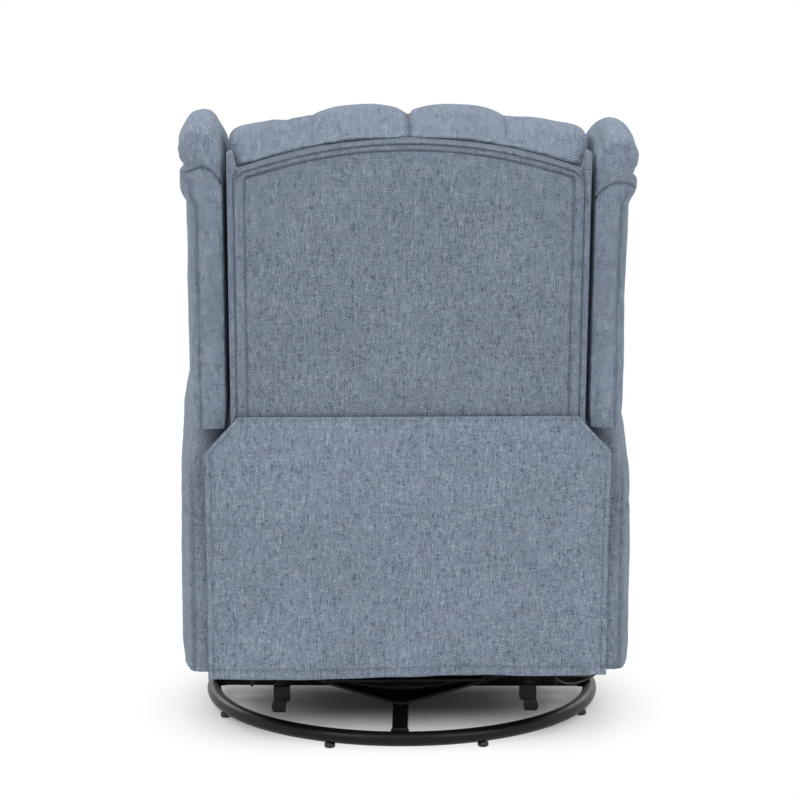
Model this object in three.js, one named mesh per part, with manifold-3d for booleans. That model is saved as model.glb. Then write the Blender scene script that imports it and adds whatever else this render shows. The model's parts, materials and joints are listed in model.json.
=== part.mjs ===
// Swivel glider recliner with a wing back, in millimetres.
// +Z is up, the sitter faces -Y, and the origin is on the floor at the swivel axis.
import * as THREE from "three";
import { mergeVertices } from "three/addons/utils/BufferGeometryUtils.js";
import Module from "manifold-3d";

const wasm = await Module();
wasm.setup();

// Clearances and cutting allowance
const SEAT_GAP = 0.3; // between faces that touch
const PIN_GAP = 0.4; // round a pin in its hole
const LINK_GAP = 1.2; // between plates that slide past each other
const OVERRUN = 5; // how far a cut runs past its wall

// Floor ring and cross
const FOOT_HEIGHT = 6;
const FOOT_RADIUS = 9;
const FOOT_TOE_SHARE = 0.8; // of the glide's radius, at the floor
const FOOT_NECK_SHARE = 0.7; // of the glide's radius, under the tube
const FOOT_COUNT = 8;
const RING_RADIUS = 310;
const RING_TUBE_RADIUS = 12.7;
const SPOKE_WIDTH = 27;
const SPOKE_THICKNESS = 21;
const SPOKE_LIFT = 9; // underside of a spoke above the underside of the ring
const SPOKE_COUNT = 4;
const FLOOR_PLATE_SIDE = 304;
const FLOOR_PLATE_THICKNESS = 4;
const FLOOR_PLATE_CORNER = 14;

// Swivel bearing
const RACE_INNER = 84;
const RACE_OUTER = 118;
const RACE_HEIGHT = 7.4;
const BALL_RADIUS = 4.5;
const GROOVE_SHARE = 0.6; // how much of a ball's radius sits in each race
const BALL_COUNT = 8;
const BALL_CLEARANCE = 0.9;
const CAGE_THICKNESS = 2.4;
const CAGE_BAND = 6;
const KING_PIN_RADIUS = 11;
const KING_PIN_BORE = 6;
const KING_PIN_HEAD = 5;
const KING_PIN_HEAD_LIP = 6;
const SWIVEL_PLATE_SIDE = 262;
const SWIVEL_PLATE_THICKNESS = 4;
const SWIVEL_PLATE_CORNER = 22;

// Plates of the mechanism, from the arm inwards
const STEEL = 4; // thickness of the stamped plates
const ARM_INNER = 255; // half the clear width between the arms
const PIN_RADIUS = 5;
const PIN_HEAD_RADIUS = 9;
const PIN_HEAD_THICKNESS = 3;

// Glider frame and hanging links
const GLIDE_UPPER_Z = 214;
const GLIDE_LINK_LENGTH = 108;
const GLIDE_PIVOT_Y = 150;
const GLIDE_LINK_WIDTH = 26;
const CROSS_RAIL_Y = 96;
const CROSS_RAIL_WIDTH = 42;
const CROSS_RAIL_HEIGHT = 24;
const CROSS_RAIL_WALL = 3;
const TOWER_WIDTH = 40;
const TOWER_CORNER_SHARE = 1 / 2.2; // of the tower's width
const TOWER_ROOT_WIDTH = 64;
const FRAME_BAND = 26; // height of the glider side plate between its towers

// Anti-tip legs
const TIP_LEG_X = 204;
const TIP_LEG_Y = 200;
const TIP_LEG_WIDTH = 18;
const TIP_LEG_THICKNESS = 12;
const TIP_LEG_BLOCK = 26;
const TIP_LEG_BOTTOM = 42;
const TIP_BOOT_FLOOR_GAP = 29;
const TIP_BOOT_REACH = 16;
const TIP_BOOT_WALL = 3.2;
const TIP_BOOT_CUFF = 9;

// Carriage
const CARRIAGE_BOTTOM = 89;
const CARRIAGE_FRONT = 210;
const CARRIAGE_REAR = 200;
const TRACK_Z = 318; // top of the track that the seat frame slides on
const TRACK_FRONT = 300;
const CARRIAGE_BAND = 36; // width of the carriage plate round its window
const CARRIAGE_TOWER_REAR = 322;
const CARRIAGE_TOWER_WIDTH = 44;
const CARRIAGE_REAR_Z = 150; // underside of the plate at its rear end

// Recline
const RECLINE_Y = 300;
const RECLINE_Z = 470;
const RECLINE_LUG_RADIUS = 19;
const RECLINE_PIN_RADIUS = 7;
const BACK_TILT = THREE.MathUtils.degToRad(8.4);

// Seat
const SEAT_RAIL_WIDTH = 22;
const SEAT_RAIL_HEIGHT = 44;
const SEAT_FRONT_RAIL_HEIGHT = 22; // low, so the footrest links pass under it
const RAIL_PIN_DEPTH = 14;
const SEAT_FRAME_FRONT = 374;
const SEAT_FRAME_REAR = 128;
const SPRING_WIRE_RADIUS = 2.2;
const SPRING_COUNT = 4;
const SPRING_WAVE = 20;
const SPRING_WAVE_COUNT = 4;
const SPRING_SECTION_SIDES = 4;
const STEPS_PER_WAVE = 5;
const SPRING_BELOW_TOP = 6;
const TIE_SHARES = [0.35, 0.65]; // places of the tie wires along the springs
const SEAT_CUSHION_FRONT = 430;
const SEAT_CUSHION_REAR = 150;
const SEAT_CUSHION_HEIGHT = 100;
const SEAT_CROWN = 24;
const SEAT_ROUND = 34;
const SEAT_SIDE_GAP = 7;

// Footrest linkage, as distances forward of the swivel axis, and above or below the seat track
const FOOTREST_ROOT_FORWARD = 100;
const FOOTREST_ROOT_ABOVE = 22;
const FOOTREST_PIVOT_FORWARD = 368;
const FOOTREST_PIVOT_BELOW = 50;
const FOOTREST_OUT_FORWARD = 538;
const FOOTREST_OUT_ABOVE = 27;
const LOWER_LINK_LENGTH = 215;
const UPPER_LINK_LENGTH = 235;
const LUG_LENGTH = 45;
const FOOTREST_LINK_WIDTH = 24;
const FOOT_BOARD_THICKNESS = 12;
const FOOT_BOARD_ABOVE = 31; // top of the board above the seat track
const FOOT_BOARD_HEIGHT = 197;
const FOOT_BOARD_HALF_WIDTH = 236;
const FOOT_PAD_THICKNESS = 44;
const FOOT_PAD_ROUND = 16;
const FOOT_PAD_CROWN = 5;
const FOOT_BRACKET_WIDTH = 30;

// Arms
const ARM_BOTTOM = 136;
const ARM_TOP = 628;
const ARM_REAR_DROP = 130;
const ARM_DROP_START = -100;
const ARM_WIDTH = 101;
const ARM_OUTER = ARM_INNER + ARM_WIDTH;
const ARM_WIDEST_Y = -20;
const ARM_BARREL_SHARE = 0.81; // of the arm's width, that its side falls in over the arm's length
const ARM_FRONT = 424;
const ARM_REAR = 345;
const ARM_ROUND = 34;
const ARM_SHOULDER = 22;
const ARM_SHOULDER_Z = 430;
const ARM_CROWN = 14;
const ARM_HOLLOW_WALL = 22; // at the front and the rear
const ARM_INNER_WALL_SHARE = 0.22; // of the arm's width
const ARM_OUTER_WALL_SHARE = 0.4;
const ARM_HOLLOW_TOP = 440;
const ARM_FRAME_SHARE = 0.5; // of the hollow's width
const ARM_FRAME_BAND = 58;
const ARM_FRAME_POST = 62;

// Rear rail of the seat box
const REAR_RAIL_Y = 296;
const REAR_RAIL_THICKNESS = 22;
const REAR_RAIL_BOTTOM = 156;
const REAR_RAIL_HEIGHT = 90;

// Release lever, cup and cable, on the sitter's right arm
const LEVER_Y = -140;
const LEVER_Z = 400;
const CUP_LENGTH = 104;
const CUP_HEIGHT = 66;
const CUP_DEPTH_SHARE = 0.24; // of the arm's width
const CUP_WALL = 2.5;
const CUP_LIP = 9;
const CUP_LIP_THICKNESS = 3;
const CUP_FLUSH = 3;
const PADDLE_LENGTH = 66;
const PADDLE_HEIGHT = 40;
const PADDLE_THICKNESS = 7;
const DISH_SHARES = [0.2, 1, 0.8]; // the finger dish against half the paddle's height
const DISH_PLACE_SHARE = 0.6; // of the paddle's length
const DISH_STANDS_OUT = 1;
const PADDLE_PIN_RADIUS = 2.5;
const CABLE_RADIUS = 1.9;
const CABLE_CHANNEL_RADIUS = 8; // hole from the back of the cup to the arm's hollow

// Back, measured from the seam where the flap hangs, up and across the tilted back
const BACK_SEAM_Y = 381.6;
const BACK_SEAM_Z = 535;
const BACK_OVERHANG = 1; // how far the back reaches over the arms' inner faces
const BACK_HALF_WIDTH = ARM_INNER + BACK_OVERHANG;
const BACK_HINGE_GAP = 2.5; // from the cushion between the arms to the hinge plates
const BACK_TAPER_HEIGHT = 13; // in which the cushion narrows to fit between the arms
const BACK_STEP = 12; // height above the seam where the back widens over the arms
const BACK_BOTTOM = -128;
const PANEL_THICKNESS = 26;
const PANEL_CROWN = 6;
const PANEL_BOTTOM = -18;
const PANEL_ROUND = 9;
const ARCH_CENTRE = 415;
const ARCH_CORNER = 366;
const ARCH_CORNER_ROUND = 26;
const BACK_FRAME_DEPTH = 44;
const BACK_FRAME_BAND = 46;
const BACK_FRAME_BELOW_ARCH = 22;
const BACK_SPRING_COUNT = 3;
const BACK_CUSHION_DEPTH = 112;
const BACK_CREST = 452;
const BACK_CREST_DROP = 44;
const BACK_CREST_FALL_SHARE = 2.2; // power of the crest's fall towards its ends
const BACK_ROUND = 38;
const LUMBAR_CROWN = 20;
const LUMBAR_HEIGHT_SHARE = 0.3; // of the cushion's height
const TUFT_DEPTH = 17;
const TUFT_SPACING_X = 155;
const TUFT_REACH_SHARE = 0.36; // of the rows' spacing
const PLEAT_SHARE = 1.2; // of the panel's crown
const PLEAT_POWER = 6;
const TUFT_SPACING_V = 92;

// Wings, in the same measures as the back
const WING_THICKNESS = 50;
const WING_ROUND = 12;
const WING_REACH = 258; // how far the wing's front edge stands ahead of the back's seam
const WING_NOSE_UP = 130;
const WING_TOP = 396;
const WING_SET_BACK = 72;
const WING_REAR_FOOT = -24;
const WING_FRONT_FOOT = 8;
const WING_REAR_LEAN = 30;
const WING_ROLL_TOP_RADIUS = 37;
const WING_ROLL_FOOT_RADIUS = 24;
const ROLL_CAP_SHARE = 0.84; // of the roll's radius at its rear end
const ROLL_FOOT_SHARE = 0.8; // of the roll's radius at its lower end

// Rear flap
const FLAP_TOP_INSET = 4; // of each top corner from the side of the back
const FLAP_OVER_ARM = 47; // how far the flap covers each arm's rear
const FLAP_SHOULDER_Z = 481;
const FLAP_BOTTOM = 128;
const FLAP_THICKNESS = 2.6;
const FLAP_FOLD_DEPTH = 3.2;
const FLAP_FOLD_COUNT = 3;
const FLAP_FALL_Z = 514; // where the flap leaves the back and starts to fall in to the arms
const FLAP_ROW_POWER = 1.6; // rows of points lie closer towards the seam

// Finishes
const finish = {
  cloth: new THREE.MeshStandardMaterial({ color: 0x77899c, roughness: 0.95, metalness: 0 }),
  blackSteel: new THREE.MeshStandardMaterial({ color: 0x17181b, roughness: 0.42, metalness: 0.5 }),
  zinc: new THREE.MeshStandardMaterial({ color: 0x9a9da1, roughness: 0.35, metalness: 0.9 }),
  plastic: new THREE.MeshStandardMaterial({ color: 0x1b1c1f, roughness: 0.5, metalness: 0 }),
  rubber: new THREE.MeshStandardMaterial({ color: 0x151517, roughness: 0.85, metalness: 0 }),
  wood: new THREE.MeshStandardMaterial({ color: 0xb08d5f, roughness: 0.8, metalness: 0 }),
};

const chair = new THREE.Group();

// Adds a named piece to the chair or to one of its groups.
function put(name, geometry, look, parent = chair) {
  const mesh = new THREE.Mesh(geometry, look);
  mesh.name = name;
  parent.add(mesh);
  return mesh;
}

const CURVE_STEPS = 4;
const SIDES = [
  ["left", 1],
  ["right", -1],
];
const X_AXIS = new THREE.Vector3(1, 0, 0);
const Y_AXIS = new THREE.Vector3(0, 1, 0);
const Z_AXIS = new THREE.Vector3(0, 0, 1);
const VERTEX_MERGE = 1e-3;

// A closed geometry as a solid that can be joined and cut.
function solid(geometry) {
  const bare = geometry.clone();
  bare.deleteAttribute("normal");
  bare.deleteAttribute("uv");
  const merged = mergeVertices(bare, VERTEX_MERGE);
  return new wasm.Manifold(
    new wasm.Mesh({
      numProp: 3,
      vertProperties: merged.attributes.position.array,
      triVerts: new Uint32Array(merged.index.array),
    }),
  );
}

// A solid back as a geometry.
function geometryOf(body) {
  const mesh = body.getMesh();
  const geometry = new THREE.BufferGeometry();
  geometry.setAttribute("position", new THREE.BufferAttribute(mesh.vertProperties, 3));
  geometry.setIndex(new THREE.BufferAttribute(mesh.triVerts, 1));
  geometry.computeVertexNormals();
  return geometry;
}

function join(...geometries) {
  return geometryOf(geometries.map(solid).reduce((whole, piece) => whole.add(piece)));
}

function cut(geometry, ...tools) {
  return geometryOf(tools.map(solid).reduce((whole, tool) => whole.subtract(tool), solid(geometry)));
}

// Mirrors a piece made for the sitter's left, at +X, to the sitter's right.
function onSide(geometry, side) {
  if (side > 0) return geometry;
  const mirrored = geometry.index ? geometry.toNonIndexed() : geometry.clone();
  mirrored.scale(-1, 1, 1);
  const position = mirrored.attributes.position;
  const corner = new THREE.Vector3();
  const other = new THREE.Vector3();
  for (let i = 0; i < position.count; i += 3) {
    corner.fromBufferAttribute(position, i + 1);
    other.fromBufferAttribute(position, i + 2);
    position.setXYZ(i + 1, other.x, other.y, other.z);
    position.setXYZ(i + 2, corner.x, corner.y, corner.z);
  }
  mirrored.deleteAttribute("normal");
  mirrored.deleteAttribute("uv");
  mirrored.computeVertexNormals();
  return mirrored;
}

function block(x0, x1, y0, y1, z0, z1) {
  const box = new THREE.BoxGeometry(x1 - x0, y1 - y0, z1 - z0);
  return box.translate((x0 + x1) / 2, (y0 + y1) / 2, (z0 + z1) / 2);
}

// An outline in Y and Z, as a slab from x0 to x1.
function slabX(outline, x0, x1, curveSegments = CURVE_STEPS) {
  const slab = new THREE.ExtrudeGeometry(outline, { depth: x1 - x0, bevelEnabled: false, curveSegments });
  slab.applyMatrix4(new THREE.Matrix4().makeBasis(Y_AXIS, Z_AXIS, X_AXIS));
  return slab.translate(x0, 0, 0);
}

// An outline in X and Z, as a slab from y0 to y1.
function slabY(outline, y0, y1, curveSegments = CURVE_STEPS) {
  const slab = new THREE.ExtrudeGeometry(outline, { depth: y1 - y0, bevelEnabled: false, curveSegments });
  slab.applyMatrix4(new THREE.Matrix4().makeBasis(X_AXIS, Z_AXIS, Y_AXIS.clone().negate()));
  return slab.translate(0, y1, 0);
}

// An outline in X and Y, as a slab from z0 to z1.
function slabZ(outline, z0, z1, curveSegments = CURVE_STEPS) {
  const slab = new THREE.ExtrudeGeometry(outline, { depth: z1 - z0, bevelEnabled: false, curveSegments });
  return slab.translate(0, 0, z0);
}

// A round bar along X through a point in Y and Z.
function rodX(centre, radius, x0, x1, sides = 10) {
  const rod = new THREE.CylinderGeometry(radius, radius, x1 - x0, sides);
  return rod.rotateZ(-Math.PI / 2).translate((x0 + x1) / 2, centre.x, centre.y);
}

// A closed outline through corners, each rounded by its own radius or by a common one.
function rounded(corners, radius) {
  const outline = new THREE.Shape();
  corners.forEach((corner, i) => {
    const before = corners[(i + corners.length - 1) % corners.length];
    const after = corners[(i + 1) % corners.length];
    const reach = Array.isArray(radius) ? radius[i] : radius;
    const into = before.clone().sub(corner).setLength(reach).add(corner);
    const out = after.clone().sub(corner).setLength(reach).add(corner);
    if (i === 0) outline.moveTo(into.x, into.y);
    else outline.lineTo(into.x, into.y);
    outline.quadraticCurveTo(corner.x, corner.y, out.x, out.y);
  });
  outline.closePath();
  return outline;
}

const at = (a, b) => new THREE.Vector2(a, b);

const HOLE_SIDES = 12;

// A round hole whose flats, not its corners, lie on the radius.
function hole(centre, radius) {
  const corners = [];
  const reach = radius / Math.cos(Math.PI / HOLE_SIDES);
  for (let k = 0; k < HOLE_SIDES; k++) {
    const turn = (-2 * Math.PI * k) / HOLE_SIDES;
    corners.push(at(centre.x + reach * Math.cos(turn), centre.y + reach * Math.sin(turn)));
  }
  return new THREE.Path(corners);
}

// A flat bar with round ends between two pivots.
function barOutline(from, to, width) {
  const angle = Math.atan2(to.y - from.y, to.x - from.x);
  const outline = new THREE.Shape();
  outline.absarc(from.x, from.y, width / 2, angle + Math.PI / 2, angle + 1.5 * Math.PI, false);
  outline.absarc(to.x, to.y, width / 2, angle - Math.PI / 2, angle + Math.PI / 2, false);
  outline.closePath();
  return outline;
}

// A soft block with rounded edges: a box whose points are drawn in to a radius.
function softBlock(half, radius, counts) {
  const box = new THREE.BoxGeometry(2 * half.x, 2 * half.y, 2 * half.z, ...counts);
  box.deleteAttribute("normal");
  box.deleteAttribute("uv");
  const soft = mergeVertices(box, VERTEX_MERGE);
  const position = soft.attributes.position;
  const point = new THREE.Vector3();
  const core = new THREE.Vector3();
  const inner = half.clone().subScalar(radius);
  for (let i = 0; i < position.count; i++) {
    point.fromBufferAttribute(position, i);
    core.copy(point).clamp(inner.clone().negate(), inner);
    point.sub(core);
    if (point.length() > 0) point.setLength(radius);
    point.add(core);
    position.setXYZ(i, point.x, point.y, point.z);
  }
  return soft;
}

// Moves every point of a geometry by a rule.
function warp(geometry, rule) {
  const position = geometry.attributes.position;
  const point = new THREE.Vector3();
  for (let i = 0; i < position.count; i++) {
    point.fromBufferAttribute(position, i);
    rule(point);
    position.setXYZ(i, point.x, point.y, point.z);
  }
  return geometry;
}

// A round section swept along a path in Y and Z, with its own radius at each point, closed ends, and its
// inner side on the plane x = inner.
function swelledRoll(centres, radii, inner, sides) {
  const points = [];
  const faces = [];
  centres.forEach((centre, i) => {
    const before = centres[Math.max(i - 1, 0)];
    const after = centres[Math.min(i + 1, centres.length - 1)];
    const along = after.clone().sub(before).normalize();
    const across = at(-along.y, along.x);
    for (let k = 0; k < sides; k++) {
      const turn = (2 * Math.PI * k) / sides;
      const lift = radii[i] * Math.cos(turn);
      points.push(inner + radii[i] * (1 + Math.sin(turn)), centre.x + lift * across.x, centre.y + lift * across.y);
    }
  });
  const first = centres[0];
  const last = centres[centres.length - 1];
  points.push(inner + radii[0], first.x, first.y, inner + radii[radii.length - 1], last.x, last.y);
  const firstPole = centres.length * sides;
  for (let k = 0; k < sides; k++) {
    const next = (k + 1) % sides;
    for (let i = 0; i + 1 < centres.length; i++) {
      const a = i * sides + k;
      const b = i * sides + next;
      faces.push(a, b, a + sides, b, b + sides, a + sides);
    }
    const end = (centres.length - 1) * sides;
    faces.push(firstPole, next, k, firstPole + 1, end + k, end + next);
  }
  const roll = new THREE.BufferGeometry();
  roll.setAttribute("position", new THREE.Float32BufferAttribute(points, 3));
  roll.setIndex(faces);
  return facingOut(roll);
}

// Turns a closed geometry's faces round if they point in.
function facingOut(geometry) {
  if (solid(geometry).volume() > 0) return geometry;
  const index = geometry.index.array;
  for (let i = 0; i < index.length; i += 3) {
    const second = index[i + 1];
    index[i + 1] = index[i + 2];
    index[i + 2] = second;
  }
  return geometry;
}

// Floor ring, its glides and the cross that carries the bearing
const RING_Z = FOOT_HEIGHT + SEAT_GAP + RING_TUBE_RADIUS;
const SPOKE_BOTTOM = RING_Z - RING_TUBE_RADIUS + SPOKE_LIFT;
const SPOKE_TOP = SPOKE_BOTTOM + SPOKE_THICKNESS;
const FLOOR_PLATE_TOP = SPOKE_TOP + FLOOR_PLATE_THICKNESS;
const RING_SECTION_SIDES = 10;
const RING_STEPS = 48;

function ringGeometry(tubeRadius) {
  return new THREE.TorusGeometry(RING_RADIUS, tubeRadius, RING_SECTION_SIDES, RING_STEPS).translate(0, 0, RING_Z);
}


function crossGeometry() {
  const reach = RING_RADIUS;
  const spokes = [];
  for (let i = 0; i < SPOKE_COUNT / 2; i++) {
    const half = SPOKE_WIDTH / 2;
    const bar = block(-reach, reach, -half, half, SPOKE_BOTTOM, SPOKE_TOP);
    spokes.push(bar.rotateZ((i * Math.PI) / 2));
  }
  const side = FLOOR_PLATE_SIDE / 2;
  const square = [at(-side, -side), at(side, -side), at(side, side), at(-side, side)];
  const plateShape = rounded(square, FLOOR_PLATE_CORNER);
  plateShape.holes.push(hole(at(0, 0), KING_PIN_RADIUS + SEAT_GAP));
  const plate = slabZ(plateShape, SPOKE_TOP, FLOOR_PLATE_TOP, 3).rotateZ(Math.PI / 4);
  const bore = new THREE.CylinderGeometry(
    KING_PIN_RADIUS + SEAT_GAP,
    KING_PIN_RADIUS + SEAT_GAP,
    SPOKE_THICKNESS + 2 * OVERRUN,
    24,
  );
  bore.rotateX(Math.PI / 2).translate(0, 0, (SPOKE_BOTTOM + SPOKE_TOP) / 2);
  return cut(join(...spokes, plate), ringGeometry(RING_TUBE_RADIUS + SEAT_GAP), bore);
}

put("base_ring", ringGeometry(RING_TUBE_RADIUS), finish.blackSteel);
put("base_cross", keepLargest(crossGeometry()), finish.blackSteel);

// The ring's outer side can leave slivers of a spoke beyond it: only the inner piece is kept.
function keepLargest(geometry) {
  const pieces = solid(geometry).decompose();
  return geometryOf(pieces.reduce((largest, piece) => (piece.volume() > largest.volume() ? piece : largest)));
}

function footGeometry() {
  const saddle = RING_Z - RING_TUBE_RADIUS / 2;
  const dome = new THREE.LatheGeometry(
    [
      at(0, 0),
      at(FOOT_RADIUS * FOOT_TOE_SHARE, 0),
      at(FOOT_RADIUS, FOOT_HEIGHT / 3),
      at(FOOT_RADIUS, FOOT_HEIGHT),
      at(FOOT_RADIUS * FOOT_NECK_SHARE, saddle),
      at(0, saddle),
    ],
    8,
  );
  dome.rotateX(Math.PI / 2).translate(RING_RADIUS, 0, 0);
  return dome;
}

for (let i = 0; i < FOOT_COUNT; i++) {
  const angle = ((i + 1 / 2) * 2 * Math.PI) / FOOT_COUNT;
  const foot = cut(footGeometry().rotateZ(angle), ringGeometry(RING_TUBE_RADIUS + SEAT_GAP));
  put(`ring_glide_${i + 1}`, foot, finish.plastic);
}

// Swivel bearing and plate
const LOWER_RACE_Z = FLOOR_PLATE_TOP + SEAT_GAP;
const BALL_CIRCLE = (RACE_INNER + RACE_OUTER) / 2;
const GROOVE_DEPTH = BALL_RADIUS * GROOVE_SHARE;
const BALL_Z = LOWER_RACE_Z + RACE_HEIGHT - GROOVE_DEPTH + BALL_RADIUS;
const UPPER_RACE_Z = BALL_Z + BALL_RADIUS - GROOVE_DEPTH;
const SWIVEL_PLATE_Z = UPPER_RACE_Z + RACE_HEIGHT + SEAT_GAP;
const SWIVEL_PLATE_TOP = SWIVEL_PLATE_Z + SWIVEL_PLATE_THICKNESS;
const RACE_SIDES = 24;

function ringWall(inner, outer, z0, z1, sides = RACE_SIDES) {
  const profile = [at(inner, z0), at(outer, z0), at(outer, z1), at(inner, z1), at(inner, z0)];
  return new THREE.LatheGeometry(profile, sides).rotateX(Math.PI / 2);
}

function raceGeometry(z0) {
  const groove = new THREE.TorusGeometry(BALL_CIRCLE, BALL_RADIUS + BALL_CLEARANCE, 8, RACE_SIDES);
  return cut(ringWall(RACE_INNER, RACE_OUTER, z0, z0 + RACE_HEIGHT), groove.translate(0, 0, BALL_Z));
}

function cagedBalls() {
  const band = ringWall(
    BALL_CIRCLE - CAGE_BAND,
    BALL_CIRCLE + CAGE_BAND,
    BALL_Z - CAGE_THICKNESS / 2,
    BALL_Z + CAGE_THICKNESS / 2,
    RACE_SIDES,
  );
  const balls = [];
  for (let i = 0; i < BALL_COUNT; i++) {
    const angle = (2 * Math.PI * i) / BALL_COUNT;
    const ball = new THREE.SphereGeometry(BALL_RADIUS, 6, 4);
    balls.push(ball.translate(BALL_CIRCLE * Math.cos(angle), BALL_CIRCLE * Math.sin(angle), BALL_Z));
  }
  return join(band, ...balls);
}

put("lower_race", raceGeometry(LOWER_RACE_Z), finish.zinc);
put("ball_cage", cagedBalls(), finish.zinc);
put("upper_race", raceGeometry(UPPER_RACE_Z), finish.zinc);

function swivelPlateGeometry() {
  const half = SWIVEL_PLATE_SIDE / 2;
  const square = [at(-half, -half), at(half, -half), at(half, half), at(-half, half)];
  const plate = rounded(square, SWIVEL_PLATE_CORNER);
  plate.holes.push(hole(at(0, 0), KING_PIN_RADIUS + PIN_GAP));
  return slabZ(plate, SWIVEL_PLATE_Z, SWIVEL_PLATE_TOP);
}

put("swivel_plate", swivelPlateGeometry(), finish.blackSteel);

function kingPinGeometry() {
  const lip = KING_PIN_RADIUS + KING_PIN_HEAD_LIP;
  const bottom = SPOKE_BOTTOM - SEAT_GAP;
  const top = SWIVEL_PLATE_TOP + PIN_GAP;
  const profile = [
    at(KING_PIN_BORE, bottom - KING_PIN_HEAD),
    at(lip, bottom - KING_PIN_HEAD),
    at(lip, bottom),
    at(KING_PIN_RADIUS, bottom),
    at(KING_PIN_RADIUS, top),
    at(lip, top),
    at(lip, top + KING_PIN_HEAD),
    at(KING_PIN_BORE, top + KING_PIN_HEAD),
    at(KING_PIN_BORE, bottom - KING_PIN_HEAD),
  ];
  return new THREE.LatheGeometry(profile, 16).rotateX(Math.PI / 2);
}

put("king_pin", kingPinGeometry(), finish.zinc);

// Mechanism layers on the sitter's left, from the arm inwards; the right side mirrors them
const CARRIAGE_OUT = ARM_INNER - SEAT_GAP;
const CARRIAGE_IN = CARRIAGE_OUT - STEEL;
const GLIDE_LINK_OUT = CARRIAGE_IN - LINK_GAP;
const GLIDE_LINK_IN = GLIDE_LINK_OUT - STEEL;
const GLIDER_OUT = GLIDE_LINK_IN - LINK_GAP;
const GLIDER_IN = GLIDER_OUT - STEEL;
const SEAT_RAIL_OUT = CARRIAGE_IN - LINK_GAP - LINK_GAP;
const SEAT_RAIL_IN = SEAT_RAIL_OUT - SEAT_RAIL_WIDTH;
const LOWER_LINK_OUT = SEAT_RAIL_IN - LINK_GAP;
const LOWER_LINK_IN = LOWER_LINK_OUT - STEEL;
const UPPER_LINK_OUT = LOWER_LINK_IN - LINK_GAP;
const UPPER_LINK_IN = UPPER_LINK_OUT - STEEL;
const CONTROL_LINK_OUT = UPPER_LINK_IN - LINK_GAP;
const CONTROL_LINK_IN = CONTROL_LINK_OUT - STEEL;
const PIN_HOLE_RADIUS = PIN_RADIUS + PIN_GAP;
const GLIDE_LOWER_Z = GLIDE_UPPER_Z - GLIDE_LINK_LENGTH;

// Glider frame: two stamped side plates with a tower for each upper pivot, and two channel rails
function gliderSideOutline() {
  const foot = SWIVEL_PLATE_TOP + SEAT_GAP;
  const band = foot + FRAME_BAND;
  const crown = GLIDE_UPPER_Z + TOWER_WIDTH / 2;
  const out = GLIDE_PIVOT_Y + TOWER_WIDTH / 2;
  const root = GLIDE_PIVOT_Y - TOWER_ROOT_WIDTH / 2;
  const inner = GLIDE_PIVOT_Y - TOWER_WIDTH / 2;
  const corners = [
    at(-out, foot),
    at(out, foot),
    at(out, crown),
    at(inner, crown),
    at(root, band),
    at(-root, band),
    at(-inner, crown),
    at(-out, crown),
  ];
  const corner = TOWER_WIDTH * TOWER_CORNER_SHARE;
  const radii = [PIN_RADIUS, PIN_RADIUS, corner, corner, corner, corner, corner, corner];
  const outline = rounded(corners, radii);
  for (const end of [-1, 1]) outline.holes.push(hole(at(end * GLIDE_PIVOT_Y, GLIDE_UPPER_Z), PIN_HOLE_RADIUS));
  return outline;
}

for (const [name, side] of SIDES) {
  put(`glider_side_${name}`, onSide(slabX(gliderSideOutline(), GLIDER_IN, GLIDER_OUT), side), finish.blackSteel);
}

// A channel open at the bottom, across the frame between the side plates
function crossRailGeometry(y) {
  const bottom = SWIVEL_PLATE_TOP + SEAT_GAP;
  const end = GLIDER_IN - SEAT_GAP;
  const half = CROSS_RAIL_WIDTH / 2;
  const top = bottom + CROSS_RAIL_HEIGHT;
  const wall = CROSS_RAIL_WALL;
  const outline = new THREE.Shape([
    at(y - half, bottom),
    at(y - half + wall, bottom),
    at(y - half + wall, top - wall),
    at(y + half - wall, top - wall),
    at(y + half - wall, bottom),
    at(y + half, bottom),
    at(y + half, top),
    at(y - half, top),
  ]);
  return slabX(outline, -end, end);
}

put("glider_rail_front", crossRailGeometry(-CROSS_RAIL_Y), finish.blackSteel);
put("glider_rail_rear", crossRailGeometry(CROSS_RAIL_Y), finish.blackSteel);

// Anti-tip legs: a bar from the rear rail, a block and a stem, with a hooked rubber boot on the stem
const TIP_BAR_BOTTOM = SWIVEL_PLATE_TOP + SEAT_GAP;

function tipLegGeometry() {
  const front = CROSS_RAIL_Y + CROSS_RAIL_WIDTH / 2 + SEAT_GAP;
  const rear = TIP_LEG_Y + TIP_LEG_THICKNESS / 2;
  const half = TIP_LEG_WIDTH / 2;
  const barTop = TIP_BAR_BOTTOM + TIP_LEG_THICKNESS;
  const side = new THREE.Shape([
    at(front, TIP_BAR_BOTTOM),
    at(rear - TIP_LEG_THICKNESS, TIP_BAR_BOTTOM),
    at(rear - TIP_LEG_THICKNESS, TIP_LEG_BOTTOM),
    at(rear, TIP_LEG_BOTTOM),
    at(rear, barTop),
    at(front, barTop),
  ]);
  const bar = slabX(side, TIP_LEG_X - half, TIP_LEG_X + half);
  const blockHalf = TIP_LEG_BLOCK / 2;
  const shoulder = block(
    TIP_LEG_X - blockHalf,
    TIP_LEG_X + blockHalf,
    rear - TIP_LEG_THICKNESS - STEEL,
    rear + STEEL,
    TIP_BAR_BOTTOM - TIP_LEG_THICKNESS,
    barTop,
  );
  return join(bar, shoulder);
}

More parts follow.
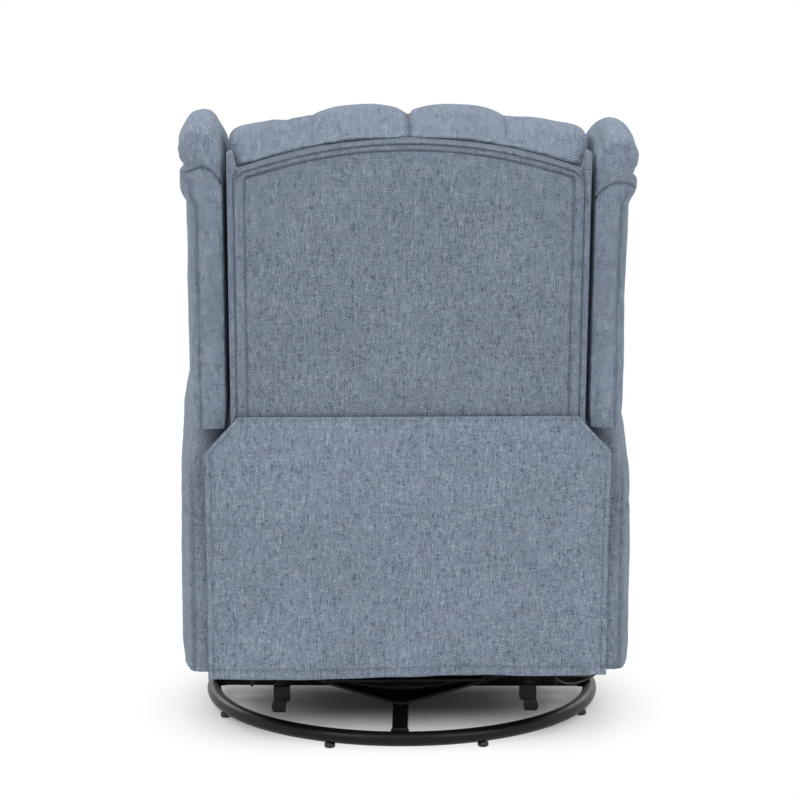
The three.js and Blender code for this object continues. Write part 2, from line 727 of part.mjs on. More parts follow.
function tipBootGeometry() {
  const half = TIP_LEG_WIDTH / 2 + SEAT_GAP;
  const y0 = TIP_LEG_Y - TIP_LEG_THICKNESS / 2 - SEAT_GAP;
  const y1 = TIP_LEG_Y + TIP_LEG_THICKNESS / 2 + SEAT_GAP;
  const wall = TIP_BOOT_WALL;
  const cuff = TIP_LEG_BOTTOM + TIP_BOOT_CUFF;
  const sole = [
    at(TIP_LEG_X - half - wall, cuff),
    at(TIP_LEG_X - half - wall, TIP_BOOT_FLOOR_GAP),
    at(TIP_LEG_X + TIP_BOOT_REACH, TIP_BOOT_FLOOR_GAP),
    at(TIP_LEG_X + TIP_BOOT_REACH + wall, TIP_LEG_BOTTOM - wall),
    at(TIP_LEG_X + half + wall, cuff),
  ];
  const radii = [wall / 2, TIP_BOOT_CUFF / 2, TIP_BOOT_CUFF / 2, wall, wall / 2];
  const boot = slabY(rounded(sole, radii), y0 - wall, y1 + wall, 4);
  const pocket = block(
    TIP_LEG_X - half,
    TIP_LEG_X + half,
    y0,
    y1,
    TIP_LEG_BOTTOM - SEAT_GAP,
    cuff + OVERRUN,
  );
  return cut(boot, pocket);
}

for (const [name, side] of SIDES) {
  put(`anti_tip_leg_${name}`, onSide(tipLegGeometry(), side), finish.blackSteel);
  put(`anti_tip_boot_${name}`, onSide(tipBootGeometry(), side), finish.rubber);
}

// Hanging glide links, each with its upper pin through the glider plate and its lower pin through the carriage
function glideLinkGeometry(y) {
  const upper = at(y, GLIDE_UPPER_Z);
  const lower = at(y, GLIDE_LOWER_Z);
  const bar = slabX(barOutline(upper, lower, GLIDE_LINK_WIDTH), GLIDE_LINK_IN, GLIDE_LINK_OUT);
  const sink = STEEL / 2;
  const upperHead = GLIDER_IN - PIN_GAP;
  const lowerHead = CARRIAGE_OUT + PIN_GAP;
  return join(
    bar,
    rodX(upper, PIN_RADIUS, upperHead - sink, GLIDE_LINK_OUT - sink),
    rodX(upper, PIN_HEAD_RADIUS, upperHead - PIN_HEAD_THICKNESS, upperHead),
    rodX(lower, PIN_RADIUS, GLIDE_LINK_IN + sink, lowerHead + sink),
    rodX(lower, PIN_HEAD_RADIUS, lowerHead, lowerHead + PIN_HEAD_THICKNESS),
  );
}

for (const [end, direction] of [
  ["front", -1],
  ["rear", 1],
]) {
  for (const [name, side] of SIDES) {
    const link = glideLinkGeometry(direction * GLIDE_PIVOT_Y);
    put(`${end}_glide_link_${name}`, onSide(link, side), finish.zinc);
  }
}

// Carriage side plates: glide pivots below, the seat track on top, and a tower for the recline pin
function carriageOutline() {
  const towerFront = CARRIAGE_TOWER_REAR - CARRIAGE_TOWER_WIDTH;
  const crown = RECLINE_Z + RECLINE_LUG_RADIUS;
  const trackUnder = TRACK_Z - CARRIAGE_BAND;
  const corner = CARRIAGE_BAND / 3;
  const outline = rounded(
    [
      at(-CARRIAGE_FRONT, CARRIAGE_BOTTOM),
      at(CARRIAGE_REAR, CARRIAGE_BOTTOM),
      at(CARRIAGE_TOWER_REAR, CARRIAGE_REAR_Z),
      at(CARRIAGE_TOWER_REAR, crown),
      at(towerFront, crown),
      at(towerFront, TRACK_Z),
      at(-TRACK_FRONT, TRACK_Z),
      at(-TRACK_FRONT, trackUnder),
      at(-CARRIAGE_FRONT - corner, trackUnder - CARRIAGE_BAND),
    ],
    [corner, corner, corner, RECLINE_LUG_RADIUS, RECLINE_LUG_RADIUS, corner, STEEL, corner, corner],
  );
  const sill = CARRIAGE_BOTTOM + CARRIAGE_BAND;
  const window = rounded(
    [
      at(-CARRIAGE_FRONT + CARRIAGE_BAND, sill),
      at(CARRIAGE_REAR, sill),
      at(towerFront, CARRIAGE_REAR_Z + CARRIAGE_BAND),
      at(towerFront, trackUnder),
      at(-CARRIAGE_FRONT + CARRIAGE_BAND, trackUnder),
    ],
    corner,
  );
  outline.holes.push(new THREE.Path(window.getPoints(4).reverse()));
  for (const end of [-1, 1]) outline.holes.push(hole(at(end * GLIDE_PIVOT_Y, GLIDE_LOWER_Z), PIN_HOLE_RADIUS));
  outline.holes.push(hole(at(RECLINE_Y, RECLINE_Z), RECLINE_PIN_RADIUS + PIN_GAP));
  return outline;
}

const CABLE_STOP_Y = 230;
const CABLE_STOP_Z = 236;
const CABLE_STOP_SIZE = 15;

function carriagePlateGeometry(side) {
  const sink = STEEL / 2;
  const plate = slabX(carriageOutline(), CARRIAGE_IN, CARRIAGE_OUT);
  const track = block(
    SEAT_RAIL_IN + SEAT_GAP,
    CARRIAGE_IN + sink,
    -TRACK_FRONT + STEEL,
    CARRIAGE_TOWER_REAR - CARRIAGE_TOWER_WIDTH - STEEL,
    TRACK_Z - STEEL,
    TRACK_Z,
  );
  if (side > 0) return join(plate, track);
  const half = CABLE_STOP_SIZE / 2;
  const tab = block(
    CARRIAGE_IN - CABLE_STOP_SIZE,
    CARRIAGE_IN + sink,
    CABLE_STOP_Y - half,
    CABLE_STOP_Y + half,
    CABLE_STOP_Z,
    TRACK_Z - STEEL / 2,
  );
  return join(plate, track, tab);
}

for (const [name, side] of SIDES) {
  put(`carriage_plate_${name}`, onSide(carriagePlateGeometry(side), side), finish.blackSteel);
}

// Rear rail of the seat box, between the carriage plates
const rearRail = block(
  -CARRIAGE_IN + SEAT_GAP,
  CARRIAGE_IN - SEAT_GAP,
  REAR_RAIL_Y,
  REAR_RAIL_Y + REAR_RAIL_THICKNESS,
  REAR_RAIL_BOTTOM,
  REAR_RAIL_BOTTOM + REAR_RAIL_HEIGHT,
);
put("rear_box_rail", rearRail, finish.wood);

// Seat frame on the tracks
const SEAT_FRAME_Z = TRACK_Z + SEAT_GAP;
const SEAT_FRAME_TOP = SEAT_FRAME_Z + SEAT_RAIL_HEIGHT;
const FRONT_RAIL_REAR = -SEAT_FRAME_FRONT + SEAT_RAIL_WIDTH;
const REAR_RAIL_FRONT = SEAT_FRAME_REAR - SEAT_RAIL_WIDTH;

// Footrest linkage in its folded and its open state, as points (forward, up)
const root = at(FOOTREST_ROOT_FORWARD, TRACK_Z + FOOTREST_ROOT_ABOVE);
const foldedPanel = at(FOOTREST_PIVOT_FORWARD, TRACK_Z - FOOTREST_PIVOT_BELOW);
const openPanel = at(FOOTREST_OUT_FORWARD, TRACK_Z + FOOTREST_OUT_ABOVE);

// The elbow lies below the line from the root to the panel pivot.
function elbowFor(panel) {
  const reach = panel.distanceTo(root);
  const slope = Math.atan2(panel.y - root.y, panel.x - root.x);
  const cosine = (LOWER_LINK_LENGTH ** 2 + reach ** 2 - UPPER_LINK_LENGTH ** 2) / (2 * LOWER_LINK_LENGTH * reach);
  const angle = slope - Math.acos(cosine);
  return at(Math.cos(angle), Math.sin(angle)).multiplyScalar(LOWER_LINK_LENGTH).add(root);
}

const foldedElbow = elbowFor(foldedPanel);
const openElbow = elbowFor(openPanel);
const slopeOf = (from, to) => Math.atan2(to.y - from.y, to.x - from.x);
const lowerTurn = slopeOf(root, openElbow) - slopeOf(root, foldedElbow);
const upperTurn = slopeOf(openElbow, openPanel) - slopeOf(foldedElbow, foldedPanel);
const foldedLug = at(foldedElbow.x - LUG_LENGTH, foldedElbow.y);
const openLug = foldedLug.clone().sub(foldedElbow).rotateAround(at(0, 0), upperTurn).add(openElbow);

// The control link's root is as far from the folded lug as from the open one.
const lugMiddle = foldedLug.clone().add(openLug).divideScalar(2);
const lugTravel = openLug.clone().sub(foldedLug);
const controlRoot = at(
  lugMiddle.x - ((root.y - lugMiddle.y) * lugTravel.y) / lugTravel.x,
  root.y,
);

const inSpace = (point) => at(-point.x, point.y);

// Wooden seat frame: two side rails with bores for the link pins, a low front rail and a deep rear one
function seatFrameGeometry() {
  const side = block(SEAT_RAIL_IN, SEAT_RAIL_OUT, -SEAT_FRAME_FRONT, SEAT_FRAME_REAR, SEAT_FRAME_Z, SEAT_FRAME_TOP);
  const depth = RAIL_PIN_DEPTH + SEAT_GAP;
  const bores = [root, controlRoot].map((pivot) =>
    rodX(inSpace(pivot), PIN_HOLE_RADIUS, SEAT_RAIL_IN - OVERRUN, SEAT_RAIL_IN + depth, HOLE_SIDES),
  );
  const bored = cut(side, ...bores);
  const reach = SEAT_RAIL_IN + SEAT_RAIL_WIDTH / 2;
  const frontBottom = SEAT_FRAME_TOP - SEAT_FRONT_RAIL_HEIGHT;
  return join(
    bored,
    onSide(bored, -1),
    block(-reach, reach, -SEAT_FRAME_FRONT, FRONT_RAIL_REAR, frontBottom, SEAT_FRAME_TOP),
    block(-reach, reach, REAR_RAIL_FRONT, SEAT_FRAME_REAR, SEAT_FRAME_Z, SEAT_FRAME_TOP),
  );
}
put("seat_frame", seatFrameGeometry(), finish.wood);

// Wire springs, waving from side to side between the front and rear rails
class SpringWire extends THREE.Curve {
  constructor(x, start, end, z) {
    super();
    Object.assign(this, { x, start, end, z });
  }

  getPoint(t, target = new THREE.Vector3()) {
    const ease = Math.min(1, t * SPRING_WAVE_COUNT, (1 - t) * SPRING_WAVE_COUNT);
    const wave = SPRING_WAVE * ease * Math.sin(2 * Math.PI * SPRING_WAVE_COUNT * t);
    return target.set(this.x + wave, THREE.MathUtils.lerp(this.start, this.end, t), this.z);
  }
}

function wireSection(radius, sides) {
  const corners = [];
  for (let k = 0; k < sides; k++) {
    const turn = (2 * Math.PI * k) / sides;
    corners.push(at(radius * Math.cos(turn), radius * Math.sin(turn)));
  }
  return new THREE.Shape(corners);
}

const SPRING_STEPS = SPRING_WAVE_COUNT * STEPS_PER_WAVE;

// A bed of waving wires side by side along Y, tied together by straight wires across them, at height z
function springBed(count, halfSpan, start, end, z) {
  const pitch = (2 * halfSpan) / count;
  const wires = [];
  for (let i = 0; i < count; i++) {
    const wire = new SpringWire(-halfSpan + pitch * (i + 1 / 2), start, end, z);
    wires.push(
      new THREE.ExtrudeGeometry(wireSection(SPRING_WIRE_RADIUS, SPRING_SECTION_SIDES), {
        steps: SPRING_STEPS,
        extrudePath: wire,
        bevelEnabled: false,
      }),
    );
  }
  const tieReach = halfSpan - pitch / 2 + SPRING_WAVE;
  for (const share of TIE_SHARES) {
    const y = THREE.MathUtils.lerp(start, end, share);
    wires.push(rodX(at(y, z), SPRING_WIRE_RADIUS, -tieReach, tieReach, SPRING_SECTION_SIDES));
  }
  return join(...wires);
}

const seatSprings = springBed(
  SPRING_COUNT,
  SEAT_RAIL_IN,
  FRONT_RAIL_REAR + SEAT_GAP,
  REAR_RAIL_FRONT - SEAT_GAP,
  SEAT_FRAME_TOP - SPRING_BELOW_TOP,
);
put("seat_springs", seatSprings, finish.zinc);

// Seat cushion: crowned, its sides drawn in between the corners, with a rolled front
function seatCushionGeometry() {
  const length = SEAT_CUSHION_FRONT + SEAT_CUSHION_REAR;
  const half = new THREE.Vector3(ARM_INNER - SEAT_SIDE_GAP, length / 2, SEAT_CUSHION_HEIGHT / 2);
  const cushion = softBlock(half, SEAT_ROUND, [10, 12, 4]);
  const middle = (SEAT_CUSHION_REAR - SEAT_CUSHION_FRONT) / 2;
  return warp(cushion, (p) => {
    const u = p.x / half.x;
    const t = p.y / half.y;
    const lift = (p.z + half.z) / (2 * half.z);
    const crown = (1 - u ** 4) * (1 - t ** 4);
    p.z += SEAT_CROWN * crown * lift;
    p.x -= Math.sign(p.x) * SEAT_SIDE_GAP * (1 - t ** 2) * Math.abs(u) ** 3 * (lift - 1 / 2) * (lift > 1 / 2 ? 1 : 0);
    p.y += middle;
    p.z += SEAT_FRAME_TOP + SEAT_GAP + half.z;
  });
}
put("seat_cushion", seatCushionGeometry(), finish.cloth);

// Footrest links, folded at rest
function lowerLinkGeometry() {
  const from = inSpace(root);
  const to = inSpace(foldedElbow);
  const sink = STEEL / 2;
  return join(
    slabX(barOutline(from, to, FOOTREST_LINK_WIDTH), LOWER_LINK_IN, LOWER_LINK_OUT),
    rodX(from, PIN_RADIUS, LOWER_LINK_IN + sink, SEAT_RAIL_IN + RAIL_PIN_DEPTH),
    rodX(to, PIN_RADIUS, UPPER_LINK_IN - PIN_GAP - sink, LOWER_LINK_OUT - sink),
    rodX(to, PIN_HEAD_RADIUS, UPPER_LINK_IN - PIN_GAP - PIN_HEAD_THICKNESS, UPPER_LINK_IN - PIN_GAP),
  );
}

function upperLinkGeometry() {
  const elbow = inSpace(foldedElbow);
  const panel = inSpace(foldedPanel);
  const lug = inSpace(foldedLug);
  const sink = STEEL / 2;
  const bar = join(
    slabX(barOutline(elbow, panel, FOOTREST_LINK_WIDTH), UPPER_LINK_IN, UPPER_LINK_OUT),
    slabX(barOutline(elbow, lug, FOOTREST_LINK_WIDTH), UPPER_LINK_IN, UPPER_LINK_OUT),
    rodX(panel, PIN_RADIUS, CONTROL_LINK_IN - PIN_GAP - sink, UPPER_LINK_OUT - sink),
    rodX(panel, PIN_HEAD_RADIUS, CONTROL_LINK_IN - PIN_GAP - PIN_HEAD_THICKNESS, CONTROL_LINK_IN - PIN_GAP),
  );
  return cut(bar, rodX(elbow, PIN_HOLE_RADIUS, UPPER_LINK_IN - OVERRUN, UPPER_LINK_OUT + OVERRUN));
}

// The pivot of this link on the upper link's lug is the open one: the two only face each other there.
function controlLinkGeometry() {
  const from = inSpace(controlRoot);
  const to = inSpace(foldedLug);
  const sink = STEEL / 2;
  return join(
    slabX(barOutline(from, to, FOOTREST_LINK_WIDTH), CONTROL_LINK_IN, CONTROL_LINK_OUT),
    rodX(from, PIN_RADIUS, CONTROL_LINK_IN + sink, SEAT_RAIL_IN + RAIL_PIN_DEPTH),
    rodX(to, PIN_HEAD_RADIUS, CONTROL_LINK_IN - PIN_HEAD_THICKNESS, CONTROL_LINK_IN + sink),
  );
}

for (const [name, side] of SIDES) {
  put(`footrest_lower_link_${name}`, onSide(lowerLinkGeometry(), side), finish.zinc);
  put(`footrest_upper_link_${name}`, onSide(upperLinkGeometry(), side), finish.zinc);
  put(`footrest_control_link_${name}`, onSide(controlLinkGeometry(), side), finish.zinc);
}

// Footrest board with its brackets, and its pad
const FOOT_BOARD_TOP = TRACK_Z + FOOT_BOARD_ABOVE;
const FOOT_BOARD_BOTTOM = FOOT_BOARD_TOP - FOOT_BOARD_HEIGHT;
const PAD_FRONT = SEAT_CUSHION_FRONT + FOOT_PAD_CROWN + FOOT_PAD_CROWN;
const BOARD_FRONT = PAD_FRONT - FOOT_PAD_THICKNESS - SEAT_GAP;
const BOARD_REAR = BOARD_FRONT - FOOT_BOARD_THICKNESS;

put(
  "footrest_board",
  block(
    -FOOT_BOARD_HALF_WIDTH,
    FOOT_BOARD_HALF_WIDTH,
    -BOARD_FRONT,
    -BOARD_REAR,
    FOOT_BOARD_BOTTOM,
    FOOT_BOARD_TOP,
  ),
  finish.wood,
);

function footBracketGeometry() {
  const pivot = inSpace(foldedPanel);
  const face = -BOARD_REAR + SEAT_GAP;
  const sink = STEEL / 2;
  const rise = FOOTREST_LINK_WIDTH;
  const arm = slabX(barOutline(pivot, at(face + FOOTREST_LINK_WIDTH / 2, pivot.y), FOOTREST_LINK_WIDTH),
    CONTROL_LINK_IN, CONTROL_LINK_OUT);
  const flange = block(
    CONTROL_LINK_OUT - FOOT_BRACKET_WIDTH,
    CONTROL_LINK_OUT,
    face,
    face + STEEL,
    pivot.y - 2 * rise,
    pivot.y + 2 * rise,
  );
  const whole = join(arm, flange);
  const bore = rodX(pivot, PIN_HOLE_RADIUS, CONTROL_LINK_IN - OVERRUN, CONTROL_LINK_OUT + OVERRUN);
  return cut(whole, bore, block(
    CONTROL_LINK_IN - OVERRUN - sink,
    CONTROL_LINK_OUT + OVERRUN,
    face - FOOTREST_LINK_WIDTH,
    face,
    pivot.y - rise,
    pivot.y + rise,
  ));
}

for (const [name, side] of SIDES) {
  put(`footrest_bracket_${name}`, onSide(footBracketGeometry(), side), finish.zinc);
}

function footPadGeometry() {
  const half = new THREE.Vector3(
    FOOT_BOARD_HALF_WIDTH + FOOT_PAD_CROWN,
    FOOT_PAD_THICKNESS / 2,
    FOOT_BOARD_HEIGHT / 2 + FOOT_PAD_CROWN,
  );
  const pad = softBlock(half, FOOT_PAD_ROUND, [8, 3, 6]);
  return warp(pad, (p) => {
    const u = p.x / half.x;
    const t = p.z / half.z;
    if (p.y < 0) p.y += FOOT_PAD_CROWN * (u ** 4 + t ** 4 - u ** 4 * t ** 4);
    p.y += -BOARD_FRONT - SEAT_GAP - half.y;
    p.z += (FOOT_BOARD_TOP + FOOT_BOARD_BOTTOM) / 2;
  });
}
put("footrest_pad", footPadGeometry(), finish.cloth);

// Arms: barrelled sides, a crowned top that drops to the rear, and a hollow for the frame, open below
const ARM_LENGTH = ARM_FRONT + ARM_REAR;

function armReach(y) {
  return ARM_OUTER - ARM_WIDTH * ARM_BARREL_SHARE * ((y - ARM_WIDEST_Y) / ARM_LENGTH) ** 2;
}

function armHeight(y) {
  const share = THREE.MathUtils.clamp((y - ARM_DROP_START) / (ARM_REAR - ARM_DROP_START), 0, 1);
  return ARM_TOP - ARM_CROWN - ARM_REAR_DROP * Math.sin((share * Math.PI) / 2) ** 2;
}

function armPadGeometry() {
  const height = ARM_TOP - ARM_BOTTOM + ARM_ROUND;
  const half = new THREE.Vector3(ARM_WIDTH / 2, ARM_LENGTH / 2, height / 2);
  const arm = softBlock(half, ARM_ROUND, [6, 13, 7]);
  warp(arm, (p) => {
    const y = p.y + (ARM_REAR - ARM_FRONT) / 2;
    const u = p.x / half.x;
    const lift = (p.z + half.z) / height;
    const top = armHeight(y);
    const z = ARM_BOTTOM - ARM_ROUND + lift * (top - ARM_BOTTOM + ARM_ROUND);
    const shoulder = Math.max(0, (z - ARM_SHOULDER_Z * (top / ARM_TOP)) / (ARM_TOP - ARM_SHOULDER_Z));
    const outer = armReach(y) - ARM_SHOULDER * shoulder ** 2;
    p.x = THREE.MathUtils.lerp(ARM_INNER, outer, (u + 1) / 2);
    p.y = y;
    p.z = z + ARM_CROWN * (1 - u ** 2) * Math.max(0, lift - 1 / 2) * 2;
  });
  const below = block(
    ARM_INNER - OVERRUN,
    ARM_OUTER + OVERRUN,
    -ARM_FRONT - OVERRUN,
    ARM_REAR + OVERRUN,
    ARM_BOTTOM - ARM_ROUND - OVERRUN,
    ARM_BOTTOM,
  );
  return cut(arm, below);
}

const HOLLOW_IN = ARM_INNER + ARM_WIDTH * ARM_INNER_WALL_SHARE;
const HOLLOW_OUT = ARM_OUTER - ARM_WIDTH * ARM_OUTER_WALL_SHARE;
const FRAME_OUT = THREE.MathUtils.lerp(HOLLOW_IN, HOLLOW_OUT, ARM_FRAME_SHARE);
const HOLLOW_FRONT = -ARM_FRONT + ARM_HOLLOW_WALL;
const HOLLOW_REAR = ARM_REAR - ARM_HOLLOW_WALL;
const armHollow = block(HOLLOW_IN, HOLLOW_OUT, HOLLOW_FRONT, HOLLOW_REAR, ARM_BOTTOM - OVERRUN, ARM_HOLLOW_TOP);

function armFrameGeometry() {
  const front = HOLLOW_FRONT + SEAT_GAP;
  const rear = HOLLOW_REAR - SEAT_GAP;
  const bottom = ARM_BOTTOM + SEAT_GAP;
  const top = ARM_HOLLOW_TOP - SEAT_GAP;
  const corner = ARM_FRAME_BAND / 4;
  const outline = new THREE.Shape([at(front, bottom), at(rear, bottom), at(rear, top), at(front, top)]);
  const window = rounded(
    [
      at(front + ARM_FRAME_POST, bottom + ARM_FRAME_BAND),
      at(rear - ARM_FRAME_POST, bottom + ARM_FRAME_BAND),
      at(rear - ARM_FRAME_POST, top - ARM_FRAME_BAND),
      at(front + ARM_FRAME_POST, top - ARM_FRAME_BAND),
    ],
    corner,
  );
  outline.holes.push(new THREE.Path(window.getPoints(4).reverse()));
  return slabX(outline, HOLLOW_IN + SEAT_GAP, FRAME_OUT);
}

// Cup of the release lever, sunk in the outer side of the right arm; made at +X and mirrored
const CUP_FACE = armReach(LEVER_Y) - CUP_FLUSH;
const CUP_BACK = CUP_FACE - ARM_WIDTH * CUP_DEPTH_SHARE;

function cupBlock(grow, lipGrow, depthGrow, lipOut) {
  const halfLength = CUP_LENGTH / 2 + grow;
  const halfHeight = CUP_HEIGHT / 2 + grow;
  const lipLength = CUP_LENGTH / 2 + CUP_LIP + lipGrow;
  const lipHeight = CUP_HEIGHT / 2 + CUP_LIP + lipGrow;
  const lipShape = rounded(
    [
      at(LEVER_Y - lipLength, LEVER_Z - lipHeight),
      at(LEVER_Y + lipLength, LEVER_Z - lipHeight),
      at(LEVER_Y + lipLength, LEVER_Z + lipHeight),
      at(LEVER_Y - lipLength, LEVER_Z + lipHeight),
    ],
    CUP_LIP + CUP_LIP,
  );
  const body = block(
    CUP_BACK - depthGrow,
    CUP_FACE + CUP_LIP_THICKNESS / 2,
    LEVER_Y - halfLength,
    LEVER_Y + halfLength,
    LEVER_Z - halfHeight,
    LEVER_Z + halfHeight,
  );
  return [body, slabX(lipShape, CUP_FACE - depthGrow, lipOut)];
}

const PADDLE_PIN_Y = LEVER_Y - CUP_LENGTH / 2 + CUP_WALL + PADDLE_THICKNESS;
const PADDLE_X = CUP_FACE - PADDLE_THICKNESS / 2;

function paddlePin(radius, grow) {
  const height = CUP_HEIGHT - CUP_WALL + 2 * grow;
  const pin = new THREE.CylinderGeometry(radius, radius, height, 12);
  return pin.rotateX(Math.PI / 2).translate(PADDLE_X, PADDLE_PIN_Y, LEVER_Z);
}

function cupGeometry() {
  const inside = block(
    CUP_BACK + CUP_WALL,
    CUP_FACE + CUP_LIP_THICKNESS + OVERRUN,
    LEVER_Y - CUP_LENGTH / 2 + CUP_WALL,
    LEVER_Y + CUP_LENGTH / 2 - CUP_WALL,
    LEVER_Z - CUP_HEIGHT / 2 + CUP_WALL,
    LEVER_Z + CUP_HEIGHT / 2 - CUP_WALL,
  );
  const bearing = paddlePin(PADDLE_PIN_RADIUS + PIN_GAP, OVERRUN);
  return cut(join(...cupBlock(0, 0, 0, CUP_FACE + CUP_LIP_THICKNESS)), inside, bearing);
}

function paddleGeometry() {
  const front = PADDLE_PIN_Y - PADDLE_THICKNESS / 2;
  const half = PADDLE_HEIGHT / 2;
  const grip = PADDLE_THICKNESS;
  const face = rounded(
    [
      at(front, LEVER_Z - half),
      at(front + PADDLE_LENGTH, LEVER_Z - half),
      at(front + PADDLE_LENGTH, LEVER_Z + half),
      at(front, LEVER_Z + half),
    ],
    grip / 2,
  );
  const plate = slabX(face, PADDLE_X - PADDLE_THICKNESS / 2, PADDLE_X + PADDLE_THICKNESS / 2);
  const dish = new THREE.SphereGeometry(half, 12, 8);
  dish.scale(...DISH_SHARES);
  dish.translate(PADDLE_X + PADDLE_THICKNESS / 2 + DISH_STANDS_OUT, front + PADDLE_LENGTH * DISH_PLACE_SHARE, LEVER_Z);
  return join(cut(plate, dish), paddlePin(PADDLE_PIN_RADIUS, -PIN_GAP));
}

const armPad = cut(armPadGeometry(), armHollow);
for (const [name, side] of SIDES) {
  const channel = rodX(at(LEVER_Y, LEVER_Z), CABLE_CHANNEL_RADIUS, HOLLOW_OUT - OVERRUN, CUP_FACE);
  const pad = side > 0 ? armPad : cut(armPad, channel, ...cupBlock(SEAT_GAP, SEAT_GAP, SEAT_GAP, ARM_OUTER + OVERRUN));
  put(`arm_pad_${name}`, onSide(pad, side), finish.cloth);
  put(`arm_frame_${name}`, onSide(armFrameGeometry(), side), finish.wood);
}
put("release_cup", onSide(cupGeometry(), -1), finish.plastic);
put("release_lever", onSide(paddleGeometry(), -1), finish.plastic);

// Release cable: out of the cup's back, down the arm's hollow, out below in a loop, and up to the cable stop
const CABLE_START_X = CUP_BACK - 2 * SEAT_GAP;
const CABLE_END_X = CARRIAGE_IN - CABLE_STOP_SIZE / 2;
const CABLE_LANE_X = HOLLOW_OUT - CABLE_RADIUS - LINK_GAP - LINK_GAP;
const cableRoute = [
  [-CABLE_START_X, LEVER_Y, LEVER_Z],
  [-CABLE_START_X + 4, LEVER_Y, LEVER_Z],
  [-CABLE_START_X + 10, LEVER_Y, LEVER_Z],
  [-CABLE_LANE_X, LEVER_Y + 12, LEVER_Z - 10],
  [-CABLE_LANE_X, -90, 350],
  [-CABLE_LANE_X, 20, 250],
  [-CABLE_LANE_X, 130, 190],
  [-CABLE_LANE_X, 215, 158],
  [-CABLE_LANE_X + 6, 276, 139],
  [-CABLE_LANE_X + 20, 316, 125],
  [-CABLE_LANE_X + 42, 334, 118],
  [-CABLE_END_X - 6, 337, 114],
  [-CABLE_END_X + 12, 333, 118],
  [-CABLE_END_X + 21, 318, 132],
  [-CABLE_END_X + 19, 288, 152],
  [-CABLE_END_X + 9, 256, 178],
  [-CABLE_END_X, CABLE_STOP_Y + 4, 206],
  [-CABLE_END_X, CABLE_STOP_Y, 222],
  [-CABLE_END_X, CABLE_STOP_Y, CABLE_STOP_Z - SEAT_GAP],
].map(([x, y, z]) => new THREE.Vector3(x, y, z));

const CABLE_SECTION_SIDES = 8;
const CABLE_STEPS = 66;
const releaseCable = new THREE.ExtrudeGeometry(wireSection(CABLE_RADIUS, CABLE_SECTION_SIDES), {
  steps: CABLE_STEPS,
  extrudePath: new THREE.CatmullRomCurve3(cableRoute, false, "centripetal"),
  bevelEnabled: false,
});
put("release_cable", releaseCable, finish.plastic);

// Back, in its own tilted group: X across, Y towards the rear, Z up along the back
const back = new THREE.Group();
back.position.set(0, BACK_SEAM_Y, BACK_SEAM_Z);
back.rotation.x = -BACK_TILT;
chair.add(back);

// A point of the upright frame, given as (Y, Z), in the back's own measures.
function inBack(y, z) {
  const point = at(y - BACK_SEAM_Y, z - BACK_SEAM_Z);
  return point.rotateAround(at(0, 0), BACK_TILT);
}

const BACK_FRAME_REAR = -PANEL_THICKNESS - SEAT_GAP;
const BACK_FRAME_FRONT = BACK_FRAME_REAR - BACK_FRAME_DEPTH;
const WING_INNER = BACK_HALF_WIDTH + LINK_GAP + LINK_GAP;
const BACK_FRAME_HALF = WING_INNER - SEAT_GAP;
const BACK_FRAME_LOWER_HALF = GLIDE_LINK_IN - SEAT_GAP;
const ARCH_SLOPE = (ARCH_CENTRE - ARCH_CORNER) / BACK_HALF_WIDTH ** 2;
const ARCH_STEPS = 12;

const archTop = (x) => ARCH_CENTRE - ARCH_SLOPE * x ** 2;

// Outline of the back between the arms and above them, under an arched top that lies `below` the panel's arch.
function backOutline(lowerHalf, upperHalf, bottom, below, cornerRound) {
  const outline = new THREE.Shape();
  outline.moveTo(-lowerHalf, bottom);
  outline.lineTo(lowerHalf, bottom);
  outline.lineTo(lowerHalf, BACK_STEP);
  outline.lineTo(upperHalf, BACK_STEP + (upperHalf - lowerHalf));
  const corner = archTop(upperHalf) - below;
  outline.lineTo(upperHalf, corner - cornerRound);
  const start = upperHalf - cornerRound;
  outline.quadraticCurveTo(upperHalf, corner, start, archTop(start) - below);
  for (let i = 1; i < ARCH_STEPS; i++) {
    const x = start - (2 * start * i) / ARCH_STEPS;
    outline.lineTo(x, archTop(x) - below);
  }
  outline.lineTo(-start, archTop(start) - below);
  outline.quadraticCurveTo(-upperHalf, corner, -upperHalf, corner - cornerRound);
  outline.lineTo(-upperHalf, BACK_STEP + (upperHalf - lowerHalf));
  outline.lineTo(-lowerHalf, BACK_STEP);
  outline.closePath();
  return outline;
}

function backFrameGeometry() {
  const outline = backOutline(
    BACK_FRAME_LOWER_HALF,
    BACK_FRAME_HALF,
    BACK_BOTTOM,
    BACK_FRAME_BELOW_ARCH,
    ARCH_CORNER_ROUND,
  );
  const half = BACK_FRAME_LOWER_HALF - BACK_FRAME_BAND;
  const sill = BACK_BOTTOM + BACK_FRAME_BAND;
  const head = archTop(half) - BACK_FRAME_BELOW_ARCH - BACK_FRAME_BAND;
  const windowShape = rounded([at(-half, sill), at(half, sill), at(half, head), at(-half, head)], BACK_FRAME_BAND / 4);
  outline.holes.push(new THREE.Path(windowShape.getPoints(4).reverse()));
  return slabY(outline, BACK_FRAME_FRONT, BACK_FRAME_REAR);
}
put("back_frame", backFrameGeometry(), finish.wood, back);

// Spring bed across the window of the back frame
function backSpringsGeometry() {
  const half = BACK_FRAME_LOWER_HALF - BACK_FRAME_BAND - SEAT_GAP;
  const low = BACK_BOTTOM + BACK_FRAME_BAND;
  const high = archTop(half) - BACK_FRAME_BELOW_ARCH - BACK_FRAME_BAND;
  const bed = springBed(BACK_SPRING_COUNT, (high - low) / 2, -half, half, 0);
  bed.applyMatrix4(new THREE.Matrix4().makeBasis(Z_AXIS, X_AXIS, Y_AXIS));
  return bed.translate(0, BACK_FRAME_FRONT + SPRING_BELOW_TOP, (low + high) / 2);
}
put("back_springs", backSpringsGeometry(), finish.zinc, back);

